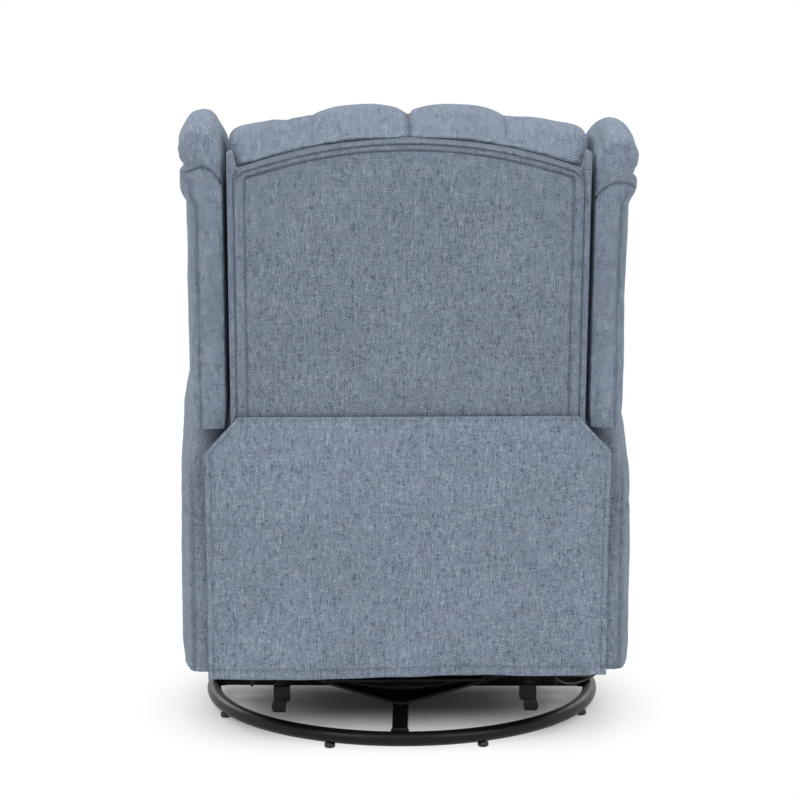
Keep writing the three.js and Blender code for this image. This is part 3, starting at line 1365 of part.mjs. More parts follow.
// Hinge plates on the stiles, each with the pin that turns in the carriage tower
function hingePlateGeometry() {
  const pivot = inBack(RECLINE_Y, RECLINE_Z);
  const middle = (BACK_FRAME_FRONT + BACK_FRAME_REAR) / 2;
  const low = at(middle, BACK_BOTTOM + RECLINE_LUG_RADIUS);
  const width = 2 * RECLINE_LUG_RADIUS - STEEL;
  const sink = STEEL / 2;
  return join(
    slabX(barOutline(pivot, low, width), GLIDE_LINK_IN, GLIDE_LINK_OUT),
    slabX(barOutline(pivot, at(middle, pivot.y), width), GLIDE_LINK_IN, GLIDE_LINK_OUT),
    rodX(pivot, RECLINE_PIN_RADIUS, GLIDE_LINK_IN + sink, CARRIAGE_OUT - SEAT_GAP),
  );
}
for (const [name, side] of SIDES) {
  put(`back_hinge_${name}`, onSide(hingePlateGeometry(), side), finish.zinc, back);
}

// Rear panel with an arched top, slightly crowned to the rear
function backPanelGeometry() {
  const nominal = ARCH_CENTRE - PANEL_BOTTOM;
  const half = new THREE.Vector3(BACK_HALF_WIDTH, PANEL_THICKNESS / 2, nominal / 2);
  const panel = softBlock(half, PANEL_ROUND, [10, 2, 9]);
  return warp(panel, (p) => {
    const u = p.x / half.x;
    const lift = (p.z + half.z) / nominal;
    if (p.y > 0) p.y += PANEL_CROWN * (1 - u ** 4) * (1 - (2 * lift - 1) ** 4);
    p.y -= half.y;
    p.z = PANEL_BOTTOM + lift * (archTop(p.x) - PANEL_BOTTOM);
  });
}
put("back_panel", backPanelGeometry(), finish.cloth, back);

// Back cushion: rolls over the top rail, tufted on the front in staggered rows
const CUSHION_FRONT = BACK_FRAME_FRONT - SEAT_GAP - BACK_CUSHION_DEPTH;
const CREST_Y = -PANEL_THICKNESS - BACK_FRAME_DEPTH;
const tufts = [];
for (let row = 0; row < 4; row++) {
  const shift = row % 2 ? 1 / 2 : 0;
  for (let column = -2; column <= 2; column++) {
    const x = (column + shift) * TUFT_SPACING_X;
    if (Math.abs(x) < BACK_HALF_WIDTH - TUFT_DEPTH) {
      tufts.push(at(x, ARCH_CENTRE - TUFT_DEPTH - row * TUFT_SPACING_V));
    }
  }
}
const TUFT_REACH = TUFT_SPACING_V * TUFT_REACH_SHARE;

function backCushionGeometry() {
  const nominal = BACK_CREST - BACK_BOTTOM;
  const depth = -PANEL_ROUND / 2 - CUSHION_FRONT;
  const half = new THREE.Vector3(BACK_HALF_WIDTH, depth / 2, nominal / 2);
  const cushion = softBlock(half, BACK_ROUND, [16, 4, 17]);
  const lowerHalf = GLIDE_LINK_IN - BACK_HINGE_GAP;
  warp(cushion, (p) => {
    const u = p.x / half.x;
    const lift = (p.z + half.z) / nominal;
    const y = p.y + (CUSHION_FRONT - PANEL_ROUND / 2) / 2;
    const back = Math.max(0, (y - CREST_Y) / -CREST_Y);
    const front = Math.max(0, (CREST_Y - y) / (CREST_Y - CUSHION_FRONT));
    const puff = Math.abs(Math.cos((Math.PI * p.x) / TUFT_SPACING_X)) ** PLEAT_POWER;
    const crest =
      BACK_CREST - BACK_CREST_DROP * Math.abs(u) ** BACK_CREST_FALL_SHARE - (BACK_CREST - ARCH_CENTRE) * back ** 2 -
      TUFT_DEPTH * front ** 2 - (PANEL_CROWN * PLEAT_SHARE * puff * (1 - u ** 4));
    p.z = BACK_BOTTOM + lift * (crest - BACK_BOTTOM);
    const lower = THREE.MathUtils.clamp(1 - (p.z - BACK_STEP) / BACK_TAPER_HEIGHT, 0, 1);
    p.x *= THREE.MathUtils.lerp(1, lowerHalf / BACK_HALF_WIDTH, lower);
    const nearest = Math.min(...tufts.map((tuft) => tuft.distanceTo(at(p.x, p.z))));
    const dimple = TUFT_DEPTH * Math.exp(-((nearest / TUFT_REACH) ** 2));
    const lumbar = LUMBAR_CROWN * (1 - u ** 4) * Math.exp(-((lift / LUMBAR_HEIGHT_SHARE - 1) ** 2));
    p.y = y - front * (lumbar - dimple);
  });
  const keepOut = slabY(
    backOutline(
      BACK_FRAME_HALF + OVERRUN,
      BACK_FRAME_HALF + OVERRUN,
      BACK_BOTTOM - OVERRUN,
      BACK_FRAME_BELOW_ARCH - SEAT_GAP,
      ARCH_CORNER_ROUND,
    ),
    BACK_FRAME_FRONT - SEAT_GAP,
    OVERRUN + PANEL_CROWN,
  );
  const overPanel = slabY(
    backOutline(
      BACK_HALF_WIDTH + OVERRUN,
      BACK_HALF_WIDTH + OVERRUN,
      BACK_BOTTOM - OVERRUN,
      -SEAT_GAP,
      SEAT_GAP,
    ),
    -PANEL_THICKNESS - SEAT_GAP,
    OVERRUN + PANEL_CROWN,
  );
  return cut(cushion, keepOut, overPanel);
}
put("back_cushion", backCushionGeometry(), finish.cloth, back);

// Wings: a padded side with a roll along the top and down the front, its inner side flat
const ROLL_PATH_SHARES = [
  [-0.085, 0.982],
  [-0.426, 0.99],
  [-0.698, 0.97],
  [-0.891, 0.854],
  [-0.984, 0.631],
  [-1.008, 0.328],
  [-0.977, 0.086],
]; // of the wing's reach and of its top
const rollPath = new THREE.SplineCurve(
  ROLL_PATH_SHARES.map(([reach, height]) => at(reach * WING_REACH, height * WING_TOP)),
);
const ROLL_STEPS = 13;
const ROLL_SIDES = 10;

// The wing's front edge at a height up the back: upright at first, then set back under the roll.
function wingFront(up) {
  const share = Math.max(0, up - WING_NOSE_UP) / (WING_TOP - WING_NOSE_UP);
  return -WING_REACH + WING_SET_BACK * share ** 4;
}

function wingSideGeometry() {
  const nominal = WING_TOP - WING_REAR_FOOT;
  const half = new THREE.Vector3(WING_THICKNESS / 2, WING_REACH / 2, nominal / 2);
  return warp(softBlock(half, WING_ROUND, [2, 6, 9]), (p) => {
    const along = (1 - p.y / half.y) / 2;
    const lift = (p.z + half.z) / nominal;
    const foot = THREE.MathUtils.lerp(WING_REAR_FOOT, WING_FRONT_FOOT, along);
    p.z = THREE.MathUtils.lerp(foot, WING_TOP, lift);
    const rear = THREE.MathUtils.lerp(-WING_REAR_LEAN, -WING_ROUND / 2, lift);
    p.y = THREE.MathUtils.lerp(rear, wingFront(p.z), along);
    p.x += WING_INNER + half.x;
  });
}

function wingGeometry() {
  const side = wingSideGeometry();
  const centres = [];
  const radii = [];
  const points = rollPath.getSpacedPoints(ROLL_STEPS);
  const cap = at(WING_ROLL_TOP_RADIUS, 0);
  points.forEach((point, i) => {
    centres.push(point);
    radii.push(THREE.MathUtils.lerp(WING_ROLL_TOP_RADIUS, WING_ROLL_FOOT_RADIUS, i / ROLL_STEPS));
  });
  const lastUp = points[ROLL_STEPS].clone().sub(points[ROLL_STEPS - 1]).setLength(WING_ROLL_FOOT_RADIUS / 2);
  centres.unshift(points[0].clone().add(cap.clone().multiplyScalar(1 / 3)));
  radii.unshift(WING_ROLL_TOP_RADIUS * ROLL_CAP_SHARE);
  centres.push(points[ROLL_STEPS].clone().add(lastUp));
  radii.push(WING_ROLL_FOOT_RADIUS * ROLL_FOOT_SHARE);
  const roll = swelledRoll(centres, radii, WING_INNER, ROLL_SIDES);
  return join(side, roll);
}
for (const [name, side] of SIDES) {
  put(`wing_${name}`, onSide(wingGeometry(), side), finish.cloth, back);
}

// Rear flap: hangs from the back's seam, meets the arms' rear faces at its shoulders, and falls straight below
function flapHalf(z) {
  const share = THREE.MathUtils.clamp((BACK_SEAM_Z - z) / (BACK_SEAM_Z - FLAP_SHOULDER_Z), 0, 1);
  return THREE.MathUtils.lerp(BACK_HALF_WIDTH - FLAP_TOP_INSET, ARM_INNER + FLAP_OVER_ARM, share);
}

function flapGeometry() {
  const height = BACK_SEAM_Z - FLAP_BOTTOM;
  const box = new THREE.BoxGeometry(2, FLAP_THICKNESS, height, 14, 1, 11);
  box.deleteAttribute("normal");
  box.deleteAttribute("uv");
  const sheet = mergeVertices(box, VERTEX_MERGE);
  const seamFace = BACK_SEAM_Y + PANEL_CROWN / 2;
  const armFace = ARM_REAR + SEAT_GAP;
  return warp(sheet, (p) => {
    const u = p.x;
    const drop = (1 / 2 - p.z / height) ** FLAP_ROW_POWER;
    const z = BACK_SEAM_Z - height * drop;
    const fall = THREE.MathUtils.smoothstep(FLAP_FALL_Z - z, 0, FLAP_FALL_Z - FLAP_SHOULDER_Z);
    const middle = (1 - u ** 2) * (z - FLAP_BOTTOM) / height;
    const fold = FLAP_FOLD_DEPTH * (1 + Math.cos(Math.PI * FLAP_FOLD_COUNT * u)) / 2;
    const hang = THREE.MathUtils.lerp(0, (seamFace - armFace) * middle, fall) + fold * fall;
    p.y += THREE.MathUtils.lerp(seamFace, armFace, fall) + hang + FLAP_THICKNESS / 2;
    p.x = u * flapHalf(z);
    p.z = z;
  });
}
put("rear_flap", flapGeometry(), finish.cloth);
export default chair;
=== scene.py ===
"""Swivel glider recliner with a wing back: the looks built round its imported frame.

Lengths are metres, +Z is up, the sitter faces -Y and +X is the sitter's left.
"""

from __future__ import annotations

import json
import logging
import math
from dataclasses import dataclass, field
from enum import Enum
from typing import Iterable, Sequence

import bmesh
import bpy
import numpy as np
from mathutils import Matrix, Vector, noise

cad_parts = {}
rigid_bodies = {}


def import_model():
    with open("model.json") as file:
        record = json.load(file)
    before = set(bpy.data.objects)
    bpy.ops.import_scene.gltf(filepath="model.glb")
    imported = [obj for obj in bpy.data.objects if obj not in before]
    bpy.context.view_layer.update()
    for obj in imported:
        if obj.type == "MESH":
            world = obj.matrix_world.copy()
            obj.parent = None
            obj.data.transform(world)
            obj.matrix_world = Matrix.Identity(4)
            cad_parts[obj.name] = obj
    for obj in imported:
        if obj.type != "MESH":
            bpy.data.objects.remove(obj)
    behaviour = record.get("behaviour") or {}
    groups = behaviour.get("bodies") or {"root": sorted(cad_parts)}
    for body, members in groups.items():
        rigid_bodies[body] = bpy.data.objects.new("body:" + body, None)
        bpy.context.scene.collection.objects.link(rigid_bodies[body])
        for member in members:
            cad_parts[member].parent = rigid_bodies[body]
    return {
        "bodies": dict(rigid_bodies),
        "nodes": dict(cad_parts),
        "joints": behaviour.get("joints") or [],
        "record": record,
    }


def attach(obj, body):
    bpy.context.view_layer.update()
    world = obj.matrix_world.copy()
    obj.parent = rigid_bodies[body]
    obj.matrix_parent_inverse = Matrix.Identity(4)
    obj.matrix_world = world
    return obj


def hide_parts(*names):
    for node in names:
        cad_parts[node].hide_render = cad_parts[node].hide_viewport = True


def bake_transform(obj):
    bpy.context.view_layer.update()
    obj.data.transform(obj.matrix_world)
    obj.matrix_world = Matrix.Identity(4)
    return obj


LOG = logging.getLogger("recliner")

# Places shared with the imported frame; BACK_SPACE has z up along the back and y to its rear
BACK_SEAM = Vector((0.0, 0.3816, 0.535))
BACK_TILT = math.radians(8.4)
BACK_SPACE = Matrix.Translation(BACK_SEAM) @ Matrix.Rotation(-BACK_TILT, 4, "X")
UPRIGHT_SPACE = Matrix.Identity(4)
SIDES = (("left", 1.0), ("right", -1.0))

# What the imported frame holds: its nodes, their bodies and the record
FRAME: dict[str, object] = {}

# How many frames each cover swells for
CLOTH_FRAMES = 20

Colour = tuple[float, float, float]
WHITE = (1.0, 1.0, 1.0, 1.0)


class Slot(Enum):
    """The record's material slots."""

    FABRIC = "fabric"
    BLACK_STEEL = "black_steel"
    ZINC_STEEL = "zinc_steel"
    BLACK_PLASTIC = "black_plastic"
    RUBBER = "rubber"
    WOOD = "wood"


# Finishes


class NodeTree:
    """A node tree, with short ways to add and join nodes."""

    def __init__(self, tree: bpy.types.NodeTree) -> None:
        """Takes a tree over and empties it."""
        self.tree = tree
        self.tree.nodes.clear()

    def feed(self, socket: bpy.types.NodeSocket, value: object) -> None:
        """Joins a socket to value, or sets it to value where that is a plain number or colour.

        Args:
            socket: an input.
            value: another node's output, a number, a colour or None.
        """
        if isinstance(value, bpy.types.NodeSocket):
            self.tree.links.new(value, socket)
        elif value is not None:
            socket.default_value = value

    def node(self, kind: str, inputs: dict[object, object] | None = None, **settings: object) -> bpy.types.Node:
        """Adds a node.

        Args:
            kind: the node's type name, without its ShaderNode prefix.
            inputs: sockets by name or number, with a value or an output to join.
            settings: the node's own properties.

        Returns:
            The new node.
        """
        made = self.tree.nodes.new("ShaderNode" + kind)
        for name, value in settings.items():
            setattr(made, name, value)
        for key, value in (inputs or {}).items():
            self.feed(made.inputs[key], value)
        return made

    def math(self, operation: str, a: object, b: object = None) -> bpy.types.NodeSocket:
        """Adds a Math node and returns its output."""
        return self.node("Math", {0: a, 1: b}, operation=operation).outputs[0]

    def plus(self, a: object, b: object) -> bpy.types.NodeSocket:
        """Adds two values."""
        return self.math("ADD", a, b)

    def times(self, a: object, b: object) -> bpy.types.NodeSocket:
        """Multiplies two values."""
        return self.math("MULTIPLY", a, b)

    def place(self) -> bpy.types.NodeSocket:
        """Returns the Object coordinates."""
        return self.node("TexCoord").outputs["Object"]


class Nodes(NodeTree):
    """A material's node tree, with its shader and ways to mix textures for it."""

    def __init__(self, name: str) -> None:
        """Makes a material called name, with a plain shader."""
        self.material = bpy.data.materials.new(name)
        self.material.use_nodes = True
        super().__init__(self.material.node_tree)
        self.shader = self.node("BsdfPrincipled")
        self.node("OutputMaterial", {"Surface": self.shader.outputs["BSDF"]})

    def stretched(self, vector: object, by: Colour) -> bpy.types.NodeSocket:
        """Multiplies a vector's three parts by these numbers."""
        return self.node("VectorMath", {0: vector, 1: by}, operation="MULTIPLY").outputs[0]

    def blend(self, share: object, a: object, b: object, mode: str = "MIX") -> bpy.types.NodeSocket:
        """Mixes colour b into colour a by share and returns the colour.

        Args:
            share: how much of b shows.
            a: the colour below.
            b: the colour on top.
            mode: how the two are mixed.

        Returns:
            The mixed colour.
        """
        made = self.node("Mix", {0: share}, data_type="RGBA", blend_type=mode)
        for socket, value in ((made.inputs[6], a), (made.inputs[7], b)):
            self.feed(socket, (*value, 1.0) if isinstance(value, tuple) else value)
        return made.outputs[2]

    def ramp(self, value: object, stops: Sequence[tuple[float, object]]) -> bpy.types.NodeSocket:
        """Adds a colour ramp; a stop's colour may be a grey level.

        Args:
            value: what is looked up.
            stops: each stop's place, and its colour or grey level.

        Returns:
            The colour at value.
        """
        made = self.node("ValToRGB", {0: value})
        for i, (place, colour) in enumerate(stops):
            stop = made.color_ramp.elements[i] if i < 2 else made.color_ramp.elements.new(place)
            stop.position = place
            stop.color = (colour,) * 3 + (1.0,) if isinstance(colour, float) else (*colour, 1.0)
        return made.outputs["Color"]

    def cloud(
        self, vector: object, scale: float, detail: float = 2.0, rough: float = 0.5
    ) -> bpy.types.NodeSocket:
        """Adds a noise texture and returns its value."""
        sockets = {"Vector": vector, "Scale": scale, "Detail": detail, "Roughness": rough}
        return self.node("TexNoise", sockets).outputs[0]

    def bump(self, height: object, distance: float) -> None:
        """Gives the shader a bump of this height map, distance metres deep."""
        made = self.node("Bump", {"Height": height, "Distance": distance, "Strength": 1.0})
        self.set(Normal=made.outputs[0])

    def set(self, **values: object) -> None:
        """Sets or joins sockets of the shader; underscores stand for spaces."""
        for name, value in values.items():
            self.feed(self.shader.inputs[name.replace("_", " ")], value)


@dataclass(frozen=True)
class HeatherCloth:
    """Blue-grey upholstery cloth: a plain weave of heathered yarns, with slubs, flecks and some fuzz, and
    painted shade between its threads and in its seams.
    """

    name: str = "heather_cloth"
    # tone scales the cloth's brightness: 1 for its own colour, below 1 for painted shade and above 1 for
    # painted light in the copies.
    tone: float = 1.0
    thread: float = 0.00197
    light: Colour = (0.330, 0.382, 0.455)
    middle: Colour = (0.206, 0.250, 0.318)
    dark: Colour = (0.085, 0.108, 0.150)
    mauve: Colour = (0.250, 0.238, 0.310)
    contrast: float = 0.56
    seam_shadow: float = 0.62
    relief: float = 0.00042
    wander: float = 0.0024

    def material(self) -> bpy.types.Material:
        """Builds the cloth; the threads follow the piece's own 'weave' map, which is in metres.

        Returns:
            The material.
        """
        n = Nodes(self.name)
        across = self._threads(n)
        weft_over = n.math("ABSOLUTE", n.math("MODULO", n.plus(across["i"], across["j"]), 2.0))
        warp_hump = n.times(across["sin_u"], n.plus(n.times(across["sin_v"], 0.55), 0.45))
        weft_hump = n.times(across["sin_v"], n.plus(n.times(across["sin_u"], 0.55), 0.45))
        warp_over = n.math("SUBTRACT", 1.0, weft_over)
        height = n.plus(n.times(weft_hump, weft_over), n.times(warp_hump, warp_over))
        colour = self._yarns(n, across, weft_over)
        # Painted shade in the gaps between the threads and a painted highlight on their rounded tops, from the
        # weave's height.
        shade = n.ramp(height, [(0.0, 0.62), (0.5, 0.98), (1.0, 1.10)])
        colour = n.blend(1.0, colour, shade, "MULTIPLY")
        patches = n.cloud(n.stretched(across["map"], (30.0, 17.0, 1.0)), 1.0, 2.0)
        patchy = n.node("MapRange", {0: patches, 1: 0.35, 2: 0.65, 3: 0.62, 4: 1.20}).outputs[0]
        swing = n.times(n.times(n.math("SUBTRACT", weft_over, 0.5), 2.0 * self.contrast), patchy)
        level, blue = n.plus(swing, 1.0), n.plus(n.times(swing, 0.85), 1.0)
        both = n.node("CombineColor", {0: level, 1: level, 2: blue}).outputs[0]
        colour = n.blend(1.0, colour, both, "MULTIPLY")
        place = n.place()
        # Slow random tone of the cloth, scaled by tone, which in the copies carries painted light or painted
        # shade.
        tone = n.ramp(n.cloud(place, 9.0, 3.0), [(0.3, 0.95 * self.tone), (0.72, 1.05 * self.tone)])
        colour = n.blend(1.0, colour, tone, "MULTIPLY")
        # Painted shade in the seams: the cloth darkens towards a shadow colour where the 'seam' attribute says
        # a point lies in a seam.
        painted_seam_shade = n.node("Attribute", attribute_name="seam").outputs["Fac"]
        colour = n.blend(n.times(painted_seam_shade, self.seam_shadow), colour, tuple(0.25 * c for c in self.dark))
        fuzz = n.cloud(place, 2600.0, 2.0, 0.7)
        n.set(Base_Color=colour, Roughness=0.93, Specular_IOR_Level=0.2)
        n.set(Sheen_Weight=0.16, Sheen_Roughness=0.5, Sheen_Tint=(0.80, 0.88, 1.0, 1.0))
        n.bump(n.plus(height, n.times(fuzz, 0.2)), self.relief)
        return n.material

    def _threads(self, n: Nodes) -> dict[str, bpy.types.NodeSocket]:
        """Counts the threads at each point, and measures how far up each thread's round back it lies.

        Args:
            n: the material's nodes.

        Returns:
            The places along the cloth, thread numbers and rounded heights, by name.
        """
        weave = n.node("UVMap", uv_map="weave").outputs[0]
        drift = n.node("TexNoise", {"Vector": weave, "Scale": 45.0, "Detail": 1.0}).outputs["Color"]
        drift = n.node("VectorMath", {0: drift, 1: (0.5, 0.5, 0.5)}, operation="SUBTRACT").outputs[0]
        drift = n.node("VectorMath", {0: drift, "Scale": self.wander}, operation="SCALE").outputs[0]
        weave = n.node("VectorMath", {0: weave, 1: drift}, operation="ADD").outputs[0]
        parts = n.node("SeparateXYZ", {0: weave}).outputs
        found: dict[str, bpy.types.NodeSocket] = {"map": weave}
        for axis, number, part in (("u", "i", parts["X"]), ("v", "j", parts["Y"])):
            found[axis] = n.times(part, 1.0 / self.thread)
            found[number] = n.math("FLOOR", found[axis])
            found["sin_" + axis] = n.math("SINE", n.times(n.math("FRACT", found[axis]), math.pi))
        return found

    def _yarns(
        self, n: Nodes, across: dict[str, bpy.types.NodeSocket], weft_over: bpy.types.NodeSocket
    ) -> bpy.types.NodeSocket:
        """Colours the yarns: each changes tone along its length, every few threads.

        Args:
            n: the material's nodes.
            across: what _threads found.
            weft_over: 1 where the weft is on top.

        Returns:
            The yarn's colour.
        """
        warp = n.node("CombineXYZ", {0: n.times(across["i"], 1.7), 1: n.times(across["v"], 0.15), 2: 0.5})
        weft = n.node("CombineXYZ", {0: n.times(across["u"], 0.30), 1: n.times(across["j"], 0.83), 2: 7.5})
        warp_tone = n.cloud(warp.outputs[0], 1.0, 1.5, 0.6)
        weft_tone = n.cloud(weft.outputs[0], 1.0, 1.5, 0.6)
        mostly_warp = n.plus(n.times(weft_over, 0.55), 0.08)
        tone = n.node("Mix", {0: mostly_warp, 2: warp_tone, 3: weft_tone}, data_type="FLOAT").outputs[0]
        stops = [(0.325, self.dark), (0.47, self.middle), (0.53, self.middle), (0.675, self.light)]
        colour = n.ramp(tone, stops)
        patch = n.cloud(n.place(), 55.0, 2.0)
        return n.blend(n.ramp(patch, [(0.58, 0.0), (0.76, 0.24)]), colour, self.mauve)


@dataclass(frozen=True)
class SewingThread:
    """Twisted thread of the topstitching, a shade darker than the cloth."""

    colour: Colour = (0.16, 0.195, 0.25)
    bright: Colour = (0.23, 0.27, 0.33)

    def material(self) -> bpy.types.Material:
        """Builds the thread.

        Returns:
            The material.
        """
        n = Nodes("sewing_thread")
        turns = {"Vector": n.place(), "Scale": 900.0, "Distortion": 1.0}
        twist = n.node("TexWave", turns, wave_type="BANDS", bands_direction="DIAGONAL").outputs[1]
        n.set(Base_Color=n.blend(twist, self.colour, self.bright), Roughness=0.6)
        n.bump(twist, 0.0001)
        return n.material


@dataclass(frozen=True)
class PowderCoat:
    """Black powder coat: a fine orange peel and random patches of dust and wear."""

    colour: Colour = (0.0024, 0.0024, 0.0030)
    worn: Colour = (0.014, 0.014, 0.015)

    def material(self) -> bpy.types.Material:
        """Builds the coat.

        Returns:
            The material.
        """
        n = Nodes("black_powder_coat")
        place = n.place()
        peel = n.cloud(place, 520.0, 3.0, 0.55)
        scuff = n.cloud(place, 38.0, 6.0, 0.7)
        dust = n.times(n.ramp(scuff, [(0.52, 0.0), (0.75, 1.0)]), 0.25)
        colour = n.blend(dust, self.colour, self.worn)
        rough = n.ramp(n.cloud(place, 90.0, 4.0), [(0.3, 0.30), (0.7, 0.44)])
        n.set(Base_Color=colour, Roughness=rough, Specular_IOR_Level=0.22)
        n.bump(peel, 0.00012)
        return n.material


@dataclass(frozen=True)
class ZincPlate:
    """Zinc-plated pressings: a faint spangle, rolling marks and a little oil haze."""

    colour: Colour = (0.50, 0.515, 0.53)

    def material(self) -> bpy.types.Material:
        """Builds the plating.

        Returns:
            The material.
        """
        n = Nodes("zinc_plate")
        place = n.place()
        grain = n.cloud(n.stretched(place, (40.0, 900.0, 40.0)), 1.0, 3.0)
        spangle = n.node("TexVoronoi", {"Vector": place, "Scale": 260.0}).outputs["Color"]
        tone = n.blend(0.12, self.colour, spangle)
        haze = n.ramp(n.cloud(place, 30.0, 4.0), [(0.35, 0.72), (0.7, 1.0)])
        rough = n.ramp(grain, [(0.3, 0.28), (0.7, 0.46)])
        n.set(Base_Color=n.blend(1.0, tone, haze, "MULTIPLY"), Metallic=0.9, Roughness=rough)
        n.bump(grain, 0.00005)
        return n.material


@dataclass(frozen=True)
class MouldedPlastic:
    """Black moulded plastic with a fine spark-eroded texture."""

    name: str = "black_plastic"
    colour: Colour = (0.016, 0.016, 0.018)
    grain: float = 1100.0
    depth: float = 0.00012
    rough: float = 0.46
    rough_range: float = 0.07
    smeared: Colour = (0.07, 0.07, 0.075)

    def material(self) -> bpy.types.Material:
        """Builds the plastic.

        Returns:
            The material.
        """
        n = Nodes(self.name)
        place = n.place()
        cells = {"Vector": place, "Scale": self.grain}
        texture = n.node("TexVoronoi", cells, feature="SMOOTH_F1").outputs["Distance"]
        smear = n.cloud(place, 24.0, 5.0, 0.65)
        colour = n.blend(n.ramp(smear, [(0.55, 0.0), (0.8, 0.3)]), self.colour, self.smeared)
        low, high = max(self.rough - self.rough_range, 0.0), self.rough + self.rough_range
        n.set(Base_Color=colour, Roughness=n.ramp(smear, [(0.3, low), (0.7, high)]))
        n.bump(texture, self.depth)
        return n.material


@dataclass(frozen=True)
class FrameTimber:
    """Raw frame timber: growth rings along each board, and pores."""

    early: Colour = (0.62, 0.44, 0.26)
    late: Colour = (0.40, 0.25, 0.13)
    pore: Colour = (0.22, 0.13, 0.07)

    def material(self) -> bpy.types.Material:
        """Builds the timber.

        Returns:
            The material.
        """
        n = Nodes("frame_timber")
        place = n.place()
        bent = n.stretched(place, (1.0, 0.18, 1.0))
        growth = {"Vector": bent, "Scale": 34.0, "Distortion": 5.0, "Detail": 3.0, "Detail Scale": 1.2}
        rings = n.node("TexWave", growth, wave_type="RINGS", rings_direction="Y").outputs[1]
        pores = n.cloud(n.stretched(place, (900.0, 60.0, 900.0)), 1.0, 2.0)
        colour = n.blend(n.ramp(rings, [(0.2, 0.0), (0.85, 1.0)]), self.early, self.late)
        colour = n.blend(n.ramp(pores, [(0.55, 0.0), (0.75, 0.5)]), colour, self.pore)
        n.set(Base_Color=colour, Roughness=0.72)
        n.bump(n.plus(rings, pores), 0.0002)
        return n.material


@dataclass
class Finishes:
    """All the finishes of the chair, each made once."""

    made: dict[str, bpy.types.Material] = field(default_factory=dict)

    def __post_init__(self) -> None:
        """Makes the materials."""
        self.made = {
            Slot.FABRIC.value: HeatherCloth().material(),
            # Copies of the cloth: the panel's is painted shade, 4 % darker; the wings' and the flap's are
            # painted light, 5 % and 10 % lighter.
            "panel_painted_shade": HeatherCloth("heather_cloth_panel_painted_shade", 0.96).material(),
            "wing_painted_light": HeatherCloth("heather_cloth_wing_painted_light", 1.05).material(),
            "flap_painted_light": HeatherCloth("heather_cloth_flap_painted_light", 1.10).material(),
            Slot.BLACK_STEEL.value: PowderCoat().material(),
            Slot.ZINC_STEEL.value: ZincPlate().material(),
            Slot.BLACK_PLASTIC.value: MouldedPlastic().material(),
            Slot.RUBBER.value: MouldedPlastic("black_rubber", (0.013,) * 3, 700.0, 0.0002, 0.78).material(),
            Slot.WOOD.value: FrameTimber().material(),
            "thread": SewingThread().material(),
        }

    def dress(self, piece: bpy.types.Object, slot: Slot, key: str | None = None) -> None:
        """Gives a piece the finish of its slot, or the one called key."""
        piece.data.materials.clear()
        piece.data.materials.append(self.made[key or slot.value])


# Shared work on meshes


def smoothstep(value: np.ndarray, low: float, high: float) -> np.ndarray:
    """Returns 0 below low and 1 above high, with a soft rise between."""
    share = np.clip((value - low) / (high - low), 0.0, 1.0)
    return share * share * (3.0 - 2.0 * share)


def bell(away: np.ndarray, width: float) -> np.ndarray:
    """Returns 1 where away is 0, and next to nothing from two widths on."""
    return np.exp(-((away / width) ** 2))


def half_round(share: np.ndarray) -> np.ndarray:
    """Returns the height of a half round, 1 in its middle, where share runs from 0 to 1 across it."""
    return np.sqrt(np.clip(1.0 - (2.0 * share - 1.0) ** 2, 0.0, 1.0))


def ripple(points: np.ndarray, size: float, seed: float = 0.0) -> np.ndarray:
    """Returns soft noise from -1 to 1 at each point; size is the distance between its humps."""
    shift = Vector((seed, 1.7 * seed, -seed))
    return np.array([noise.noise(Vector(p) / size + shift) for p in points])


def read_points(mesh: bpy.types.Mesh, kind: str = "co") -> np.ndarray:
    """Returns the place, or else the normal, of each of a mesh's points, one row each."""
    flat = np.empty(len(mesh.vertices) * 3, np.float32)
    mesh.vertices.foreach_get(kind, flat)
    return flat.reshape(-1, 3).astype(float)


def points_of(piece: bpy.types.Object) -> np.ndarray:
    """Returns the piece's points, one row each."""
    return read_points(piece.data)


def normals_of(piece: bpy.types.Object) -> np.ndarray:
    """Returns the outward direction at each of the piece's points."""
    return read_points(piece.data, "normal")


def move_points(piece: bpy.types.Object, points: np.ndarray) -> None:
    """Puts the piece's points at new places."""
    piece.data.vertices.foreach_set("co", points.astype(np.float32).ravel())
    piece.data.update()


def in_space(points: np.ndarray, space: Matrix) -> np.ndarray:
    """Returns points carried through a matrix."""
    turn = np.array(space.to_3x3())
    return points @ turn.T + np.array(space.translation)


def new_piece(name: str, mesh: bmesh.types.BMesh | bpy.types.Mesh) -> bpy.types.Object:
    """Makes an object from a mesh and links it to the scene.

    Args:
        name: the piece's name.
        mesh: its shape, in the chair's frame.

    Returns:
        The new object.
    """
    data = mesh
    if isinstance(mesh, bmesh.types.BMesh):
        data = bpy.data.meshes.new(name)
        mesh.to_mesh(data)
        mesh.free()
    piece = bpy.data.objects.new(name, data)
    bpy.context.scene.collection.objects.link(piece)
    return piece


def merged_copy(node: str) -> bmesh.types.BMesh:
    """Returns a copy of a frame node's mesh with its loose triangles joined.

    Args:
        node: the frame node's name.

    Returns:
        The joined copy.
    """
    copy = bmesh.new()
    copy.from_mesh(FRAME["nodes"][node].data)
    bmesh.ops.remove_doubles(copy, verts=copy.verts, dist=2e-6)
    return copy


def settle(piece: bpy.types.Object) -> None:
    """Applies the piece's modifiers."""
    shown = piece.evaluated_get(bpy.context.evaluated_depsgraph_get())
    mesh = bpy.data.meshes.new_from_object(shown)
    piece.modifiers.clear()
    piece.data = mesh


def modify(piece: bpy.types.Object, kind: str, **settings: object) -> bpy.types.Modifier:
    """Adds a modifier with these settings and returns it.

    Args:
        piece: the piece to work on.
        kind: the modifier's type.
        settings: its properties.

    Returns:
        The modifier.
    """
    made = piece.modifiers.new(kind.lower(), kind)
    for name, value in settings.items():
        setattr(made, name, value)
    return made


